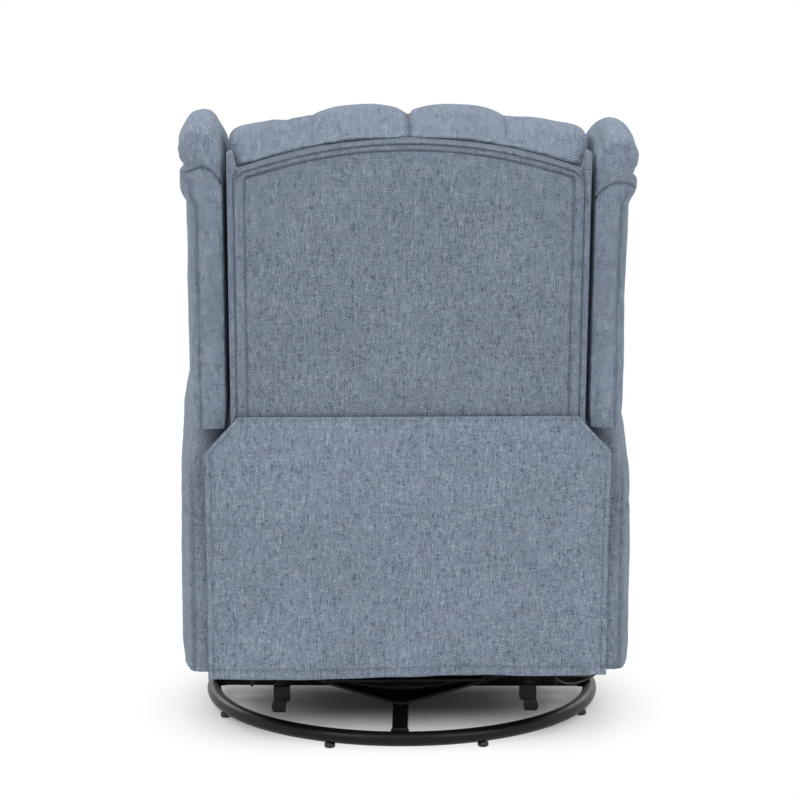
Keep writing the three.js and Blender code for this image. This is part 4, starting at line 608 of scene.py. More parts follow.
def ease_edges(piece: bpy.types.Object, width: float, angle: float) -> None:
    """Rounds the piece's edges that are sharper than angle.

    Args:
        piece: the piece to work on.
        width: how wide the rounding is.
        angle: the sharpness that is left alone.
    """
    modify(
        piece, "BEVEL", width=width, segments=2, limit_method="ANGLE", angle_limit=angle, use_clamp_overlap=True
    )
    settle(piece)


def shade(piece: bpy.types.Object, angle: float = math.radians(180)) -> None:
    """Shades the piece smooth, apart from edges sharper than angle.

    Args:
        piece: the piece to work on.
        angle: the sharpness from which an edge shows.
    """
    mesh = piece.data
    mesh.polygons.foreach_set("use_smooth", [True] * len(mesh.polygons))
    if angle < math.pi:
        mesh.set_sharp_from_angle(angle=angle)


def lay_weave(piece: bpy.types.Object, space: Matrix = UPRIGHT_SPACE) -> None:
    """Gives the piece its 'weave' map in metres: each face is cut from the cloth that lies flattest on it.

    Args:
        piece: the covered piece, in its last shape.
        space: the frame along whose axes the threads run.
    """
    mesh = piece.data
    back = space.inverted()
    local = in_space(points_of(piece), back)
    normals = np.empty(len(mesh.polygons) * 3, np.float32)
    mesh.polygons.foreach_get("normal", normals)
    turn = np.array(back.to_3x3())
    facing = np.abs(normals.reshape(-1, 3) @ turn.T)
    side = np.argmax(facing * np.array([1.0, 1.25, 0.9]), axis=1)
    counts = np.empty(len(mesh.polygons), np.int32)
    mesh.polygons.foreach_get("loop_total", counts)
    corner_side = np.repeat(side, counts)
    corners = np.empty(len(mesh.loops), np.int32)
    mesh.loops.foreach_get("vertex_index", corners)
    at = local[corners]
    width = np.where(corner_side == 0, at[:, 1], at[:, 0])
    length = np.where(corner_side == 2, at[:, 1], at[:, 2])
    layer = mesh.uv_layers.get("weave") or mesh.uv_layers.new(name="weave")
    layer.data.foreach_set("uv", np.column_stack([width, length]).astype(np.float32).ravel())


def paint_seam_shade(piece: bpy.types.Object, depth: np.ndarray) -> None:
    """Writes how deep in a seam each point lies, from 0 to 1, for the cloth to darken there as painted shade.
    """
    layer = piece.data.attributes.new("seam", "FLOAT", "POINT")
    layer.data.foreach_set("value", np.clip(depth, 0.0, 1.0).astype(np.float32))


def carry(piece: bpy.types.Object, body: str, nodes: Iterable[str] = ()) -> bpy.types.Object:
    """Puts the piece on a body, in place of frame nodes where some are named, and logs it.

    Args:
        piece: a finished piece.
        body: the body that it moves with.
        nodes: the frame nodes that it stands for.

    Returns:
        The same piece.
    """
    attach(piece, body)
    stands_for = list(nodes)
    if stands_for:
        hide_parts(*stands_for)
    LOG.info("%s: %d faces on %s", piece.name, len(piece.data.polygons), body)
    return piece


def cloth_swell(piece: bpy.types.Object, held: np.ndarray, pressure: float, cap: float, slack: float) -> None:
    """Lets the cover swell under its filling, as cloth, and keeps the result.

    Args:
        piece: an evenly meshed closed piece, a little smaller than the stuffed one.
        held: how firmly each point is held, from 0 to 1.
        pressure: the filling's push.
        cap: the furthest that a point may move.
        slack: how much wider than its base the cover is cut.
    """
    if not pressure:
        return
    group = piece.vertex_groups.new(name="held")
    for i in np.flatnonzero(held > 0.01):
        group.add([int(i)], float(held[i]), "REPLACE")
    cloth = modify(piece, "CLOTH")
    rules = cloth.settings
    rules.quality = 4
    rules.mass = 0.25
    rules.air_damping = 2.0
    rules.tension_stiffness = rules.compression_stiffness = 18.0
    rules.shear_stiffness = 6.0
    rules.bending_stiffness = 0.9
    rules.use_pressure = True
    rules.uniform_pressure_force = pressure
    rules.effector_weights.gravity = 0.0
    rules.shrink_min = -slack
    rules.vertex_group_mass = "held"
    cloth.point_cache.frame_end = CLOTH_FRAMES
    start = points_of(piece)
    scene = bpy.context.scene
    for frame_number in range(1, CLOTH_FRAMES + 1):
        scene.frame_set(frame_number)
    shown = piece.evaluated_get(bpy.context.evaluated_depsgraph_get())
    step = read_points(shown.data) - start
    length = np.linalg.norm(step, axis=1, keepdims=True)
    step *= np.minimum(1.0, cap / np.maximum(length, 1e-9))
    piece.modifiers.clear()
    piece.vertex_groups.clear()
    scene.frame_set(1)
    move_points(piece, start + step)


def relax(piece: bpy.types.Object, rounds: int, held: np.ndarray | None = None) -> None:
    """Smooths the piece's points towards their neighbours, less so where they are held.

    Args:
        piece: the piece to work on.
        rounds: how often its points are smoothed.
        held: how firmly each point is held, from 0 to 1.
    """
    start = points_of(piece)
    work = bmesh.new()
    work.from_mesh(piece.data)
    axes = {"use_axis_x": True, "use_axis_y": True, "use_axis_z": True}
    for _ in range(rounds):
        bmesh.ops.smooth_vert(work, verts=work.verts, factor=0.5, **axes)
    work.to_mesh(piece.data)
    work.free()
    if held is not None:
        keep = np.clip(held, 0.0, 1.0)[:, None]
        move_points(piece, start * keep + points_of(piece) * (1.0 - keep))


@dataclass
class StuffedPiece:
    """A padded piece: the frame's plain solid, meshed evenly, swollen as cloth and then sewn."""

    node: str
    body: str
    space: Matrix = field(default_factory=lambda: UPRIGHT_SPACE.copy())
    voxel: float = 0.006
    start_inside: float = 0.003
    relax_rounds: int = 8
    pressure: float = 4.0
    cap: float = 0.012
    slack: float = 0.02
    fine: bool = True
    fill: float = 0.7
    # cut names a lit or shaded copy of the cloth, with painted light or painted shade; None takes the plain
    # cloth.
    cut: str | None = None

    def held(self, at: np.ndarray) -> np.ndarray:
        """Says how firmly each point, in the piece's own frame, is held while it swells."""
        return np.zeros(len(at))

    def sewn(self, at: np.ndarray, out: np.ndarray) -> tuple[np.ndarray, np.ndarray]:
        """Returns where points move once seams and wrinkles are in, and how deep in a seam each lies, for
        painted seam shade.
        """
        return at, np.zeros(len(at))

    def build(self, finishes: Finishes) -> bpy.types.Object:
        """Makes, swells, sews and dresses the piece.

        Args:
            finishes: the chair's finishes.

        Returns:
            The finished piece, on its body.
        """
        piece = new_piece(self.node + "_cover", merged_copy(self.node))
        modify(piece, "REMESH", mode="VOXEL", voxel_size=self.voxel * 1.0)
        settle(piece)
        relax(piece, self.relax_rounds, self._hold(piece))
        free = 1.0 - self._hold(piece)
        move_points(piece, points_of(piece) - normals_of(piece) * self.start_inside * free[:, None])
        cloth_swell(piece, self._hold(piece), self.pressure, self.cap, self.slack)
        relax(piece, 2, self._hold(piece))
        if self.fine:
            modify(piece, "SUBSURF", levels=1, render_levels=1)
            settle(piece)
        local = self.space.inverted()
        turn = np.array(local.to_3x3())
        at = in_space(points_of(piece), local)
        moved, depth = self.sewn(at, normals_of(piece) @ turn.T)
        move_points(piece, in_space(moved, self.space))
        paint_seam_shade(piece, depth)
        shade(piece)
        lay_weave(piece, self.space)
        finishes.dress(piece, Slot.FABRIC, self.cut)
        return carry(piece, self.body, [self.node])

    def _hold(self, piece: bpy.types.Object) -> np.ndarray:
        """Returns how firmly each of the piece's points is held where it now is."""
        return self.held(in_space(points_of(piece), self.space.inverted()))


def stitches(
    name: str, path: Sequence[Vector], out: Sequence[Vector], pitch: float = 0.0052, gauge: float = 0.00042
) -> bpy.types.Object:
    """Makes a row of topstitches: short twisted threads that dive into the cloth at each end.

    Args:
        name: the row's name.
        path: points that the row follows, a few millimetres apart.
        out: the cloth's outward direction at each of them.
        pitch: from one stitch to the next.
        gauge: half the thread's thickness.

    Returns:
        One mesh with every stitch.
    """
    rows = np.array(path, float)
    ways = np.array(out, float)
    run = np.concatenate([[0.0], np.cumsum(np.linalg.norm(np.diff(rows, axis=0), axis=1))])
    work = bmesh.new()
    for k in range(int(run[-1] / pitch)):
        middle = (k + 0.5) * pitch
        spots = (middle - 0.4 * pitch, middle + 0.4 * pitch)
        ends = [np.array([np.interp(s, run, rows[:, c]) for c in range(3)]) for s in spots]
        away = Vector([np.interp(middle, run, ways[:, c]) for c in range(3)]).normalized()
        along = Vector(ends[1] - ends[0])
        if along.length < 1e-6:
            continue
        side = along.cross(away).normalized()
        turn = Matrix((side, away, along.normalized())).transposed().to_4x4()
        turn.translation = Vector((ends[0] + ends[1]) / 2)
        size = Matrix.Diagonal((gauge, gauge, along.length / 2, 1.0))
        bmesh.ops.create_icosphere(work, subdivisions=1, radius=1.0, matrix=turn @ size)
    return new_piece(name, work)


# Back


@dataclass
class BackMeasures:
    """The back's outline in its own tilted frame, where z runs up from the seam and y towards the rear."""

    half_width: float = 0.263
    arch_centre: float = 0.415
    arch_corner: float = 0.366
    bottom: float = -0.018
    pleat_spacing: float = 0.138
    row_spacing: float = 0.092
    rows: int = 4
    tuft_margin: float = 0.017

    def arch(self, x: np.ndarray) -> np.ndarray:
        """Returns the height of the arched top at x."""
        return self.arch_centre - (self.arch_centre - self.arch_corner) * (x / self.half_width) ** 2

    def tufts(self) -> np.ndarray:
        """Returns the places, across and up, where the front is drawn in.

        Returns:
            One row for each tuft.
        """
        found = []
        for row in range(self.rows):
            shift = 0.5 if row % 2 else 0.0
            for column in range(-2, 3):
                x = (column + shift) * self.pleat_spacing
                if abs(x) < self.half_width - self.tuft_margin:
                    found.append((x, self.arch_centre - self.tuft_margin - row * self.row_spacing))
        return np.array(found)


@dataclass
class RearPanel:
    """The outside of the back: a flat cover with a stitched border, and a narrow roll along its arched top."""

    measures: BackMeasures
    side_strip: float = 0.0102
    top_strip: float = 0.0012
    side_border: float = 0.0157
    top_border: float = 0.0140
    roll: float = 0.0054
    outer_corner: float = 0.017
    inner_corner: float = 0.004
    pitch: float = 0.0019
    depth: float = 0.025
    strip_rise: float = 0.028
    sunk: float = 0.0034
    inset: float = 0.0006
    crown: float = 0.0052
    roll_height: float = 0.0034
    seam_depth: float = 0.0030
    roll_seam_depth: float = 0.0024
    stitch_depth: float = 0.0026
    fold_depth: float = 0.0024

    def reach(self, at: np.ndarray, side_in: float, top_in: float, corner: float) -> np.ndarray:
        """Measures how far points lie inside a line set in from the sides and the arch, rounded at its corners.

        Args:
            at: points in the piece's own frame.
            side_in: how far the line lies in from the sides.
            top_in: how far it lies below the arch.
            corner: its corners' radius.

        Returns:
            The distance inside the line at each point, negative outside it.
        """
        m = self.measures
        slope = 2.0 * (m.arch_centre - m.arch_corner) * at[:, 0] / m.half_width**2
        side = m.half_width - np.abs(at[:, 0]) - side_in
        top = (m.arch(at[:, 0]) - at[:, 2]) / np.sqrt(1.0 + slope**2) - top_in
        rounded = corner - np.hypot(corner - side, corner - top)
        return np.where((side < corner) & (top < corner), rounded, np.minimum(side, top))

    def lines(self, at: np.ndarray) -> tuple[np.ndarray, np.ndarray, np.ndarray]:
        """Says how each point lies to the border.

        Args:
            at: points in the back's own frame.

        Returns:
            How much each belongs to the arched top, and how far it lies inside the border's outer
            and inner lines.
        """
        side = self.measures.half_width - np.abs(at[:, 0]) - self.side_strip
        top = self.measures.arch(at[:, 0]) - at[:, 2] - self.top_strip
        outer = self.reach(at, self.side_strip, self.top_strip, self.outer_corner)
        inner = self.reach(
            at, self.side_strip + self.side_border, self.top_strip + self.top_border, self.inner_corner
        )
        return smoothstep(side - top, -0.024, 0.002), outer, inner

    def relief(self, at: np.ndarray) -> np.ndarray:
        """Returns how far the cloth stands to the rear at each point.

        Args:
            at: points in the piece's own frame.

        Returns:
            The height at each point.
        """
        m = self.measures
        along_top, outer, inner = self.lines(at)
        start = self.roll * along_top
        past = np.maximum(outer - start, 0.0)
        share = past / np.maximum(past + np.maximum(-inner, 0.0), 1e-6)
        in_border = (outer > start) & (inner < 0.0)
        border = np.where(in_border, half_round(share), 0.0) * (0.0010 + 0.0016 * along_top)
        roll = self.roll_height * half_round(np.clip(outer / self.roll, 0.0, 1.0)) * along_top
        roll_seam = self.roll_seam_depth * along_top * bell(outer - self.roll, 0.0014)
        seam = -self.seam_depth * bell(outer, 0.0017) - roll_seam
        stitched = -self.stitch_depth * bell(inner, 0.0018)
        pucker = 0.0007 * ripple(at * np.array([1.0, 0.0, 1.0]), 0.013, 3.0) * np.exp(-np.abs(inner) / 0.009)
        up = (at[:, 2] - m.bottom) / (m.arch_centre - m.bottom)
        across = at[:, 0] / m.half_width
        crown = self.crown * (1.0 - across**4) * np.clip(1.0 - (2.0 * up - 1.0) ** 4, 0.0, 1.0)
        slow = 0.0009 * ripple(at, 0.11, 9.0) + 0.0004 * ripple(at * np.array([1.6, 1.0, 0.5]), 0.04, 2.0)
        slow = slow * smoothstep(outer, 0.0, 0.05)
        return crown + border + roll + seam + stitched + pucker + self._corner_folds(at) + slow

    def _corner_folds(self, at: np.ndarray) -> np.ndarray:
        """Returns the small folds that fan out from the border's inner corners.

        Args:
            at: points in the piece's own frame.

        Returns:
            The folds' height at each point.
        """
        corner_x = self.measures.half_width - self.side_strip - self.side_border
        corner_z = self.measures.arch(np.array(corner_x))
        across = np.abs(at[:, 0]) - corner_x
        up = at[:, 2] - corner_z + self.top_strip + self.top_border
        fan = 0.5 + 0.5 * np.sin(7.0 * np.arctan2(up, across) + 0.8)
        return -self.fold_depth * bell(np.hypot(across, up), 0.012) * fan

    def seams(self, at: np.ndarray) -> np.ndarray:
        """Returns how deep in a seam each point lies, from 0 to 1, for painted seam shade."""
        along_top, outer, inner = self.lines(at)
        weighted = (0.75, outer), (0.65 * along_top, outer - self.roll), (0.7, inner)
        return sum(weight * bell(away, 0.0013) for weight, away in weighted)

    def build(self, finishes: Finishes) -> list[bpy.types.Object]:
        """Makes the cover and its row of topstitches.

        Args:
            finishes: the chair's finishes.

        Returns:
            The pieces made.
        """
        m = self.measures
        work = bmesh.new()
        columns, rows = (int(reach / self.pitch) for reach in (2 * m.half_width, m.arch_centre - m.bottom))
        bmesh.ops.create_grid(work, x_segments=columns, y_segments=rows, size=1.0)
        piece = new_piece("back_panel_cover", work)
        flat = points_of(piece)
        x = flat[:, 0] * (m.half_width - self.inset)
        up = (flat[:, 1] + 1.0) / 2.0
        head = m.arch(x) - self.inset + self.strip_rise * smoothstep(np.abs(x), 0.2470, 0.2550)
        at = np.column_stack([x, np.zeros(len(x)), m.bottom + up * (head - m.bottom)])
        paint_seam_shade(piece, self.seams(at))
        at[:, 1] = self.relief(at) - self.sunk
        at[:, 1] -= 0.0035 * (1.0 - smoothstep(self.reach(at, 0.0, 0.0, 0.003), 0.0, 0.0035))
        move_points(piece, in_space(at, BACK_SPACE))
        self._thicken(piece)
        shade(piece)
        lay_weave(piece, BACK_SPACE)
        # The panel takes the cloth with painted shade.
        finishes.dress(piece, Slot.FABRIC, "panel_painted_shade")
        carry(piece, "back", ["back_panel"])
        return [piece, self._topstitching(finishes)]

    def _thicken(self, piece: bpy.types.Object) -> None:
        """Gives the cover its padding and its turned-in edges."""
        work = bmesh.new()
        work.from_mesh(piece.data)
        rim = [e for e in work.edges if e.is_boundary]
        grown = bmesh.ops.extrude_edge_only(work, edges=rim)
        new = [v for v in grown["geom"] if isinstance(v, bmesh.types.BMVert)]
        inward = BACK_SPACE.to_3x3() @ Vector((0.0, -1.0, 0.0))
        for v in new:
            depth = (BACK_SPACE.inverted() @ v.co).y
            v.co += inward * (depth + self.depth)
        bmesh.ops.holes_fill(work, edges=[e for e in work.edges if e.is_boundary], sides=0)
        bmesh.ops.recalc_face_normals(work, faces=work.faces)
        work.to_mesh(piece.data)
        work.free()

    def _topstitching(self, finishes: Finishes) -> bpy.types.Object:
        """Sews the row of stitches along the inner side of the border.

        Args:
            finishes: the chair's finishes.

        Returns:
            The row of stitches.
        """
        m = self.measures
        half = m.half_width - self.side_strip - self.side_border + 0.0008
        top_in = self.top_strip + self.top_border - 0.0008
        across = np.arange(-half, half, 0.004)
        head = np.column_stack([across, m.arch(across) - top_in])
        up = np.arange(m.bottom + 0.004, head[0, 1], 0.004)
        left = np.column_stack([np.full(len(up), -half), up])
        line = np.vstack([left, head, left[::-1] * np.array([-1.0, 1.0])])
        at = np.column_stack([line[:, 0], np.zeros(len(line)), line[:, 1]])
        at[:, 1] = self.relief(at) - self.sunk + 0.0003
        rows = [Vector(p) for p in in_space(at, BACK_SPACE)]
        away = [BACK_SPACE.to_3x3() @ Vector((0.0, 1.0, 0.0))] * len(rows)
        row = stitches("back_panel_stitching", rows, away)
        finishes.dress(row, Slot.FABRIC, "thread")
        shade(row)
        return carry(row, "back")


@dataclass
class BackCushion(StuffedPiece):
    """The stuffed back: it rolls over the top rail in lobes, and has four rows of tufts on its front."""

    node: str = "back_cushion"
    body: str = "back"
    space: Matrix = field(default_factory=lambda: BACK_SPACE.copy())
    measures: BackMeasures = field(default_factory=BackMeasures)
    cap: float = 0.014
    pressure: float = 4.0
    widen: float = 0.032
    corner_x: float = 0.214
    corner_z: float = 0.366
    corner_size: float = 0.050
    tuft_depth: float = 0.0065
    tuft_size: float = 0.013
    fold_depth: float = 0.0050
    pleat_depth: float = 0.0030
    pleat_size: float = 0.022

    def held(self, at: np.ndarray) -> np.ndarray:
        """Holds the cover where it lies on the frame and the panel."""
        behind = smoothstep(at[:, 1], -0.078, -0.068) * (at[:, 2] < self.measures.arch(at[:, 0]) + 0.006)
        sides = smoothstep(np.abs(at[:, 0]), 0.247, 0.254) * 0.85
        return np.clip(np.maximum(behind, sides), 0.0, 1.0)

    def sewn(self, at: np.ndarray, out: np.ndarray) -> tuple[np.ndarray, np.ndarray]:
        """Draws in the tufts, the folds between them and the pleats over the crest.

        Args:
            at: points in the piece's own frame.
            out: the outward direction at each point.

        Returns:
            Where each point moves, and how deep in a seam, pleat or fold it lies, from 0 to 1, for painted
            shade there.
        """
        m = self.measures
        x, z, spacing = at[:, 0], at[:, 2], m.pleat_spacing
        top_row = m.arch_centre - m.tuft_margin
        front = smoothstep(-at[:, 1], 0.085, 0.115)
        over_top = smoothstep(z, top_row - 0.01, top_row + 0.02)
        near = np.full(len(at), 9.0)
        for tuft_x, tuft_z in m.tufts():
            near = np.minimum(near, np.hypot(x - tuft_x, z - tuft_z))
        along, up = x / spacing, (top_row - z) / m.row_spacing
        grids = (along + up / 2.0, along - up / 2.0, along)
        one, other, pleat = (np.abs(np.mod(grid + 0.5, 1.0) - 0.5) * spacing for grid in grids)
        fold = np.minimum(one, other) * 0.8
        in_rows = smoothstep(z, top_row - 3.35 * m.row_spacing, top_row - 2.9 * m.row_spacing)
        in_rows = in_rows * (1.0 - over_top) * (1.0 - smoothstep(np.abs(x), 0.225, 0.252))
        folds = self.fold_depth * in_rows * bell(fold, 0.0050)
        drawn = front * (self.tuft_depth * bell(near, self.tuft_size) + folds)
        centre = bell(x, 0.07)
        sides = 1.0 - smoothstep(np.abs(x), 0.205, 0.245)
        narrow = (0.0016 + 0.0034 * centre) * bell(pleat, 0.0042)
        crease = over_top * sides * (narrow + self.pleat_depth * bell(pleat, self.pleat_size) - 0.0012)
        wrinkle = 0.0009 * ripple(at * np.array([1.0, 1.0, 0.7]), 0.035, 5.0)
        step = -(drawn + crease) + wrinkle * (1.0 - self.held(at))
        moved = at + out * step[:, None]
        moved[:, 0] *= 1.0 + self.widen * smoothstep(np.abs(x), 0.0, 0.256)
        depth = over_top * sides * (0.35 + 0.45 * centre) * bell(pleat, 0.0030)
        return self._squared(moved), depth + 0.3 * front * in_rows * bell(fold, 0.003)

    def _squared(self, at: np.ndarray) -> np.ndarray:
        """Fills out the crest's two ends, which are cut square and stand against the wings.

        Args:
            at: points in the piece's own frame.

        Returns:
            Where each point stands then.
        """
        dx = np.maximum(np.abs(at[:, 0]) - self.corner_x, 0.0) / self.corner_size
        dz = np.maximum(at[:, 2] - self.corner_z, 0.0) / self.corner_size
        reach = np.hypot(dx, dz)
        turn = np.arctan2(dz, np.maximum(dx, 1e-9))
        square = (np.cos(turn) ** 5 + np.sin(turn) ** 5) ** (-0.2)
        grow = 1.0 + (square - 1.0) * np.clip(reach, 0.0, 1.0) ** 2
        moved = at.copy()
        wide, high = dx > 0, (dx > 0) & (dz > 0)
        moved[wide, 0] = (np.sign(at[:, 0]) * (self.corner_x + dx * grow * self.corner_size))[wide]
        moved[high, 2] = (self.corner_z + dz * grow * self.corner_size)[high]
        return moved


@dataclass
class Wing(StuffedPiece):
    """A wing: a padded side under a roll that turns outward along its top and down its front edge."""

    body: str = "back"
    space: Matrix = field(default_factory=lambda: BACK_SPACE.copy())
    side: float = 1.0
    voxel: float = 0.0044
    start_inside: float = 0.0012
    relax_rounds: int = 5
    cap: float = 0.006
    pressure: float = 3.0
    # The wings take the cloth with painted light.
    cut: str | None = "wing_painted_light"
    rear_fill: float = 0.0075
    roll_end: float = -0.034
    roll_x: float = 0.2954
    roll_z: float = 0.385
    roll_radius: float = 0.037
    lift: float = 0.0
    widen: float = 0.0075
    outward: float = 0.007
    seam_depth: float = 0.0034
    rear_seam_depth: float = 0.0026
    rear_seam_x: float = 0.2990
    knob_x: float = 0.3150
    body_x: float = 0.3235
    foot_drop: float = 0.020
    foot_fill: float = 0.013

    def held(self, at: np.ndarray) -> np.ndarray:
        """Holds the flat inner side, which lies against the back."""
        return (1.0 - smoothstep(np.abs(at[:, 0]), 0.2600, 0.2660)) * smoothstep(at[:, 1], -0.19, -0.14)

    def sewn(self, at: np.ndarray, out: np.ndarray) -> tuple[np.ndarray, np.ndarray]:
        """Gathers the roll's end, and sews the seams round it and down the wing's rear and outer edges.

        Args:
            at: points in the piece's own frame.
            out: the outward direction at each point.

        Returns:
            Where each point moves, and how deep in a seam it lies, from 0 to 1, for painted seam shade.
        """
        x, y, z = np.abs(at[:, 0]), at[:, 1], at[:, 2]
        rearward, at_rear = out[:, 1], y > -0.06
        across, up = x - self.roll_x, z - (self.roll_z + self.lift)
        away, turn = np.hypot(across, up), np.arctan2(up, across)
        at_end = smoothstep(y, self.roll_end - 0.03, self.roll_end + 0.012) * (away < 0.055) * (z > 0.335)
        folds = np.cos(11.0 * turn + 2.0 * np.sin(3.0 * turn))
        gather = 0.0005 * folds * at_end * smoothstep(away, 0.006, 0.026)
        cap_line = 0.361 + self.lift - 0.9 * (x - 0.290) ** 2 / 0.030
        seam = bell(z - cap_line, 0.0026) * smoothstep(rearward, 0.05, 0.45) * at_rear
        below = 1.0 - smoothstep(z, 0.338, 0.356)
        rear_seam = bell(x - self.rear_seam_x, 0.0026) * smoothstep(rearward, -0.2, 0.5) * below
        wrinkle = 0.0010 * ripple(at * np.array([1.0, 1.0, 0.8]), 0.030, 11.0 + self.side)
        wrinkle = wrinkle + 0.0018 * ripple(at, 0.09, 4.0 * self.side)
        sewn = -self.seam_depth * seam + gather - self.rear_seam_depth * rear_seam
        step = sewn + wrinkle * (1.0 - self.held(at))
        moved = at + out * step[:, None]
        body = 1.0 - smoothstep(z, 0.31, 0.355)
        moved[:, 1] += self.rear_fill * smoothstep(rearward, 0.0, 0.55) * body * at_rear
        moved[:, 2] += self.lift * smoothstep(z, 0.20, 0.38)
        return self._let_out(moved), 0.7 * seam + 0.55 * rear_seam

    def _let_out(self, at: np.ndarray) -> np.ndarray:
        """Sets the wing out from the back, fills the roll's end down to its knob and squares its foot.

        Args:
            at: points in the piece's own frame.

        Returns:
            Where each point stands then.
        """
        x, y, z = np.abs(at[:, 0]), at[:, 1], at[:, 2]
        body = 1.0 - smoothstep(z, 0.335, 0.385)
        plain = self.widen * smoothstep(x, 0.262, 0.296) * body
        above = z - self.roll_z - self.lift
        reach = self.roll_x + np.sqrt(np.clip(self.roll_radius**2 - above**2, 0.0, None))
        reach = np.maximum(reach, self.knob_x)
        target = self.body_x + 0.0105 * smoothstep(z, 0.312, 0.338)
        target = np.where(above > 0.0, reach + 0.0020, target)
        filled = (target - reach - self.outward) * smoothstep(x, 0.262, 0.308)
        rear = smoothstep(y, -0.125, -0.060)
        outward = self.outward + plain * (1.0 - rear) + filled * rear
        outward += 0.006 * smoothstep(z, 0.375, 0.410) * (1.0 - smoothstep(x, 0.262, 0.300))
        moved = at.copy()
        moved[:, 0] = self.side * (x + outward)
        moved[:, 1] += self.foot_fill * (1.0 - smoothstep(z, 0.02, 0.16)) * smoothstep(y, -0.20, -0.06)
        moved[:, 2] = np.maximum(z, -0.002) - self.foot_drop * (1.0 - smoothstep(z, 0.0, 0.060))
        return moved


# Seat, arms and footrest


@dataclass
class SeatCushion(StuffedPiece):
    """The seat: a crowned foam block in a boxed cover, with a seam round its top and a rolled front."""

    node: str = "seat_cushion"
    body: str = "seat"
    cap: float = 0.012
    top_seam: float = 0.4640
    low_seam: float = 0.3920
    seam_depth: float = 0.0030
    low_seam_depth: float = 0.0022
    fill: float = 0.8

    def held(self, at: np.ndarray) -> np.ndarray:
        """Holds the underside on the seat frame, and the sides a little."""
        under = 1.0 - smoothstep(at[:, 2], 0.366, 0.382)
        sides = 0.7 * smoothstep(np.abs(at[:, 0]), 0.232, 0.246)
        return np.maximum(under, sides)

    def sewn(self, at: np.ndarray, out: np.ndarray) -> tuple[np.ndarray, np.ndarray]:
        """Sews the boxing seams and lays soft creases across the sitting face.

        Args:
            at: points in the piece's own frame.
            out: the outward direction at each point.

        Returns:
            Where each point moves, and how deep in a seam it lies, from 0 to 1, for painted seam shade.
        """
        rim = smoothstep(np.hypot(out[:, 0], out[:, 1]), 0.35, 0.8)
        drop = 0.022 * smoothstep(-at[:, 1], 0.30, 0.42)
        seam = bell(at[:, 2] - self.top_seam + drop, 0.0026) * rim
        low_seam = bell(at[:, 2] - self.low_seam, 0.0024) * rim
        on_top = smoothstep(out[:, 2], 0.3, 0.8)
        crease = 0.0022 * ripple(at * np.array([0.7, 1.5, 1.0]), 0.055, 21.0) * on_top
        fine = 0.0007 * ripple(at, 0.022, 8.0)
        sewn = -self.seam_depth * seam - self.low_seam_depth * low_seam
        step = sewn + crease + fine * (1.0 - self.held(at))
        return at + out * step[:, None], 0.6 * seam + 0.5 * low_seam


@dataclass
class FootrestPad(StuffedPiece):
    """The footrest's pad, puckered at its corners."""

    node: str = "footrest_pad"
    body: str = "footrest"
    voxel: float = 0.0045
    cap: float = 0.007
    start_inside: float = 0.002
    fill: float = 0.65
    middle_z: float = 0.2505
    seam_y: float = -0.4135
    seam_depth: float = 0.0024

    def held(self, at: np.ndarray) -> np.ndarray:
        """Holds the face that lies on the board."""
        return smoothstep(at[:, 1], -0.402, -0.3975)

    def sewn(self, at: np.ndarray, out: np.ndarray) -> tuple[np.ndarray, np.ndarray]:
        """Sews a seam round the pad's edge and gathers its corners.

        Args:
            at: points in the piece's own frame.
            out: the outward direction at each point.

        Returns:
            Where each point moves, and how deep in a seam it lies, from 0 to 1, for painted seam shade.
        """
        x, up = np.abs(at[:, 0]), np.abs(at[:, 2] - self.middle_z)
        edge = bell(at[:, 1] - self.seam_y, 0.0022) * smoothstep(np.hypot(out[:, 0], out[:, 2]), 0.4, 0.9)
        corner = smoothstep(x, 0.20, 0.24) * smoothstep(up, 0.075, 0.10)
        gather = 0.0012 * np.sin(np.arctan2(up - 0.07, x - 0.2) * 22.0) * corner
        soft = 0.0010 * ripple(at, 0.04, 13.0)
        step = -self.seam_depth * edge + gather + soft * (1.0 - self.held(at))
        return at + out * step[:, None], 0.6 * edge


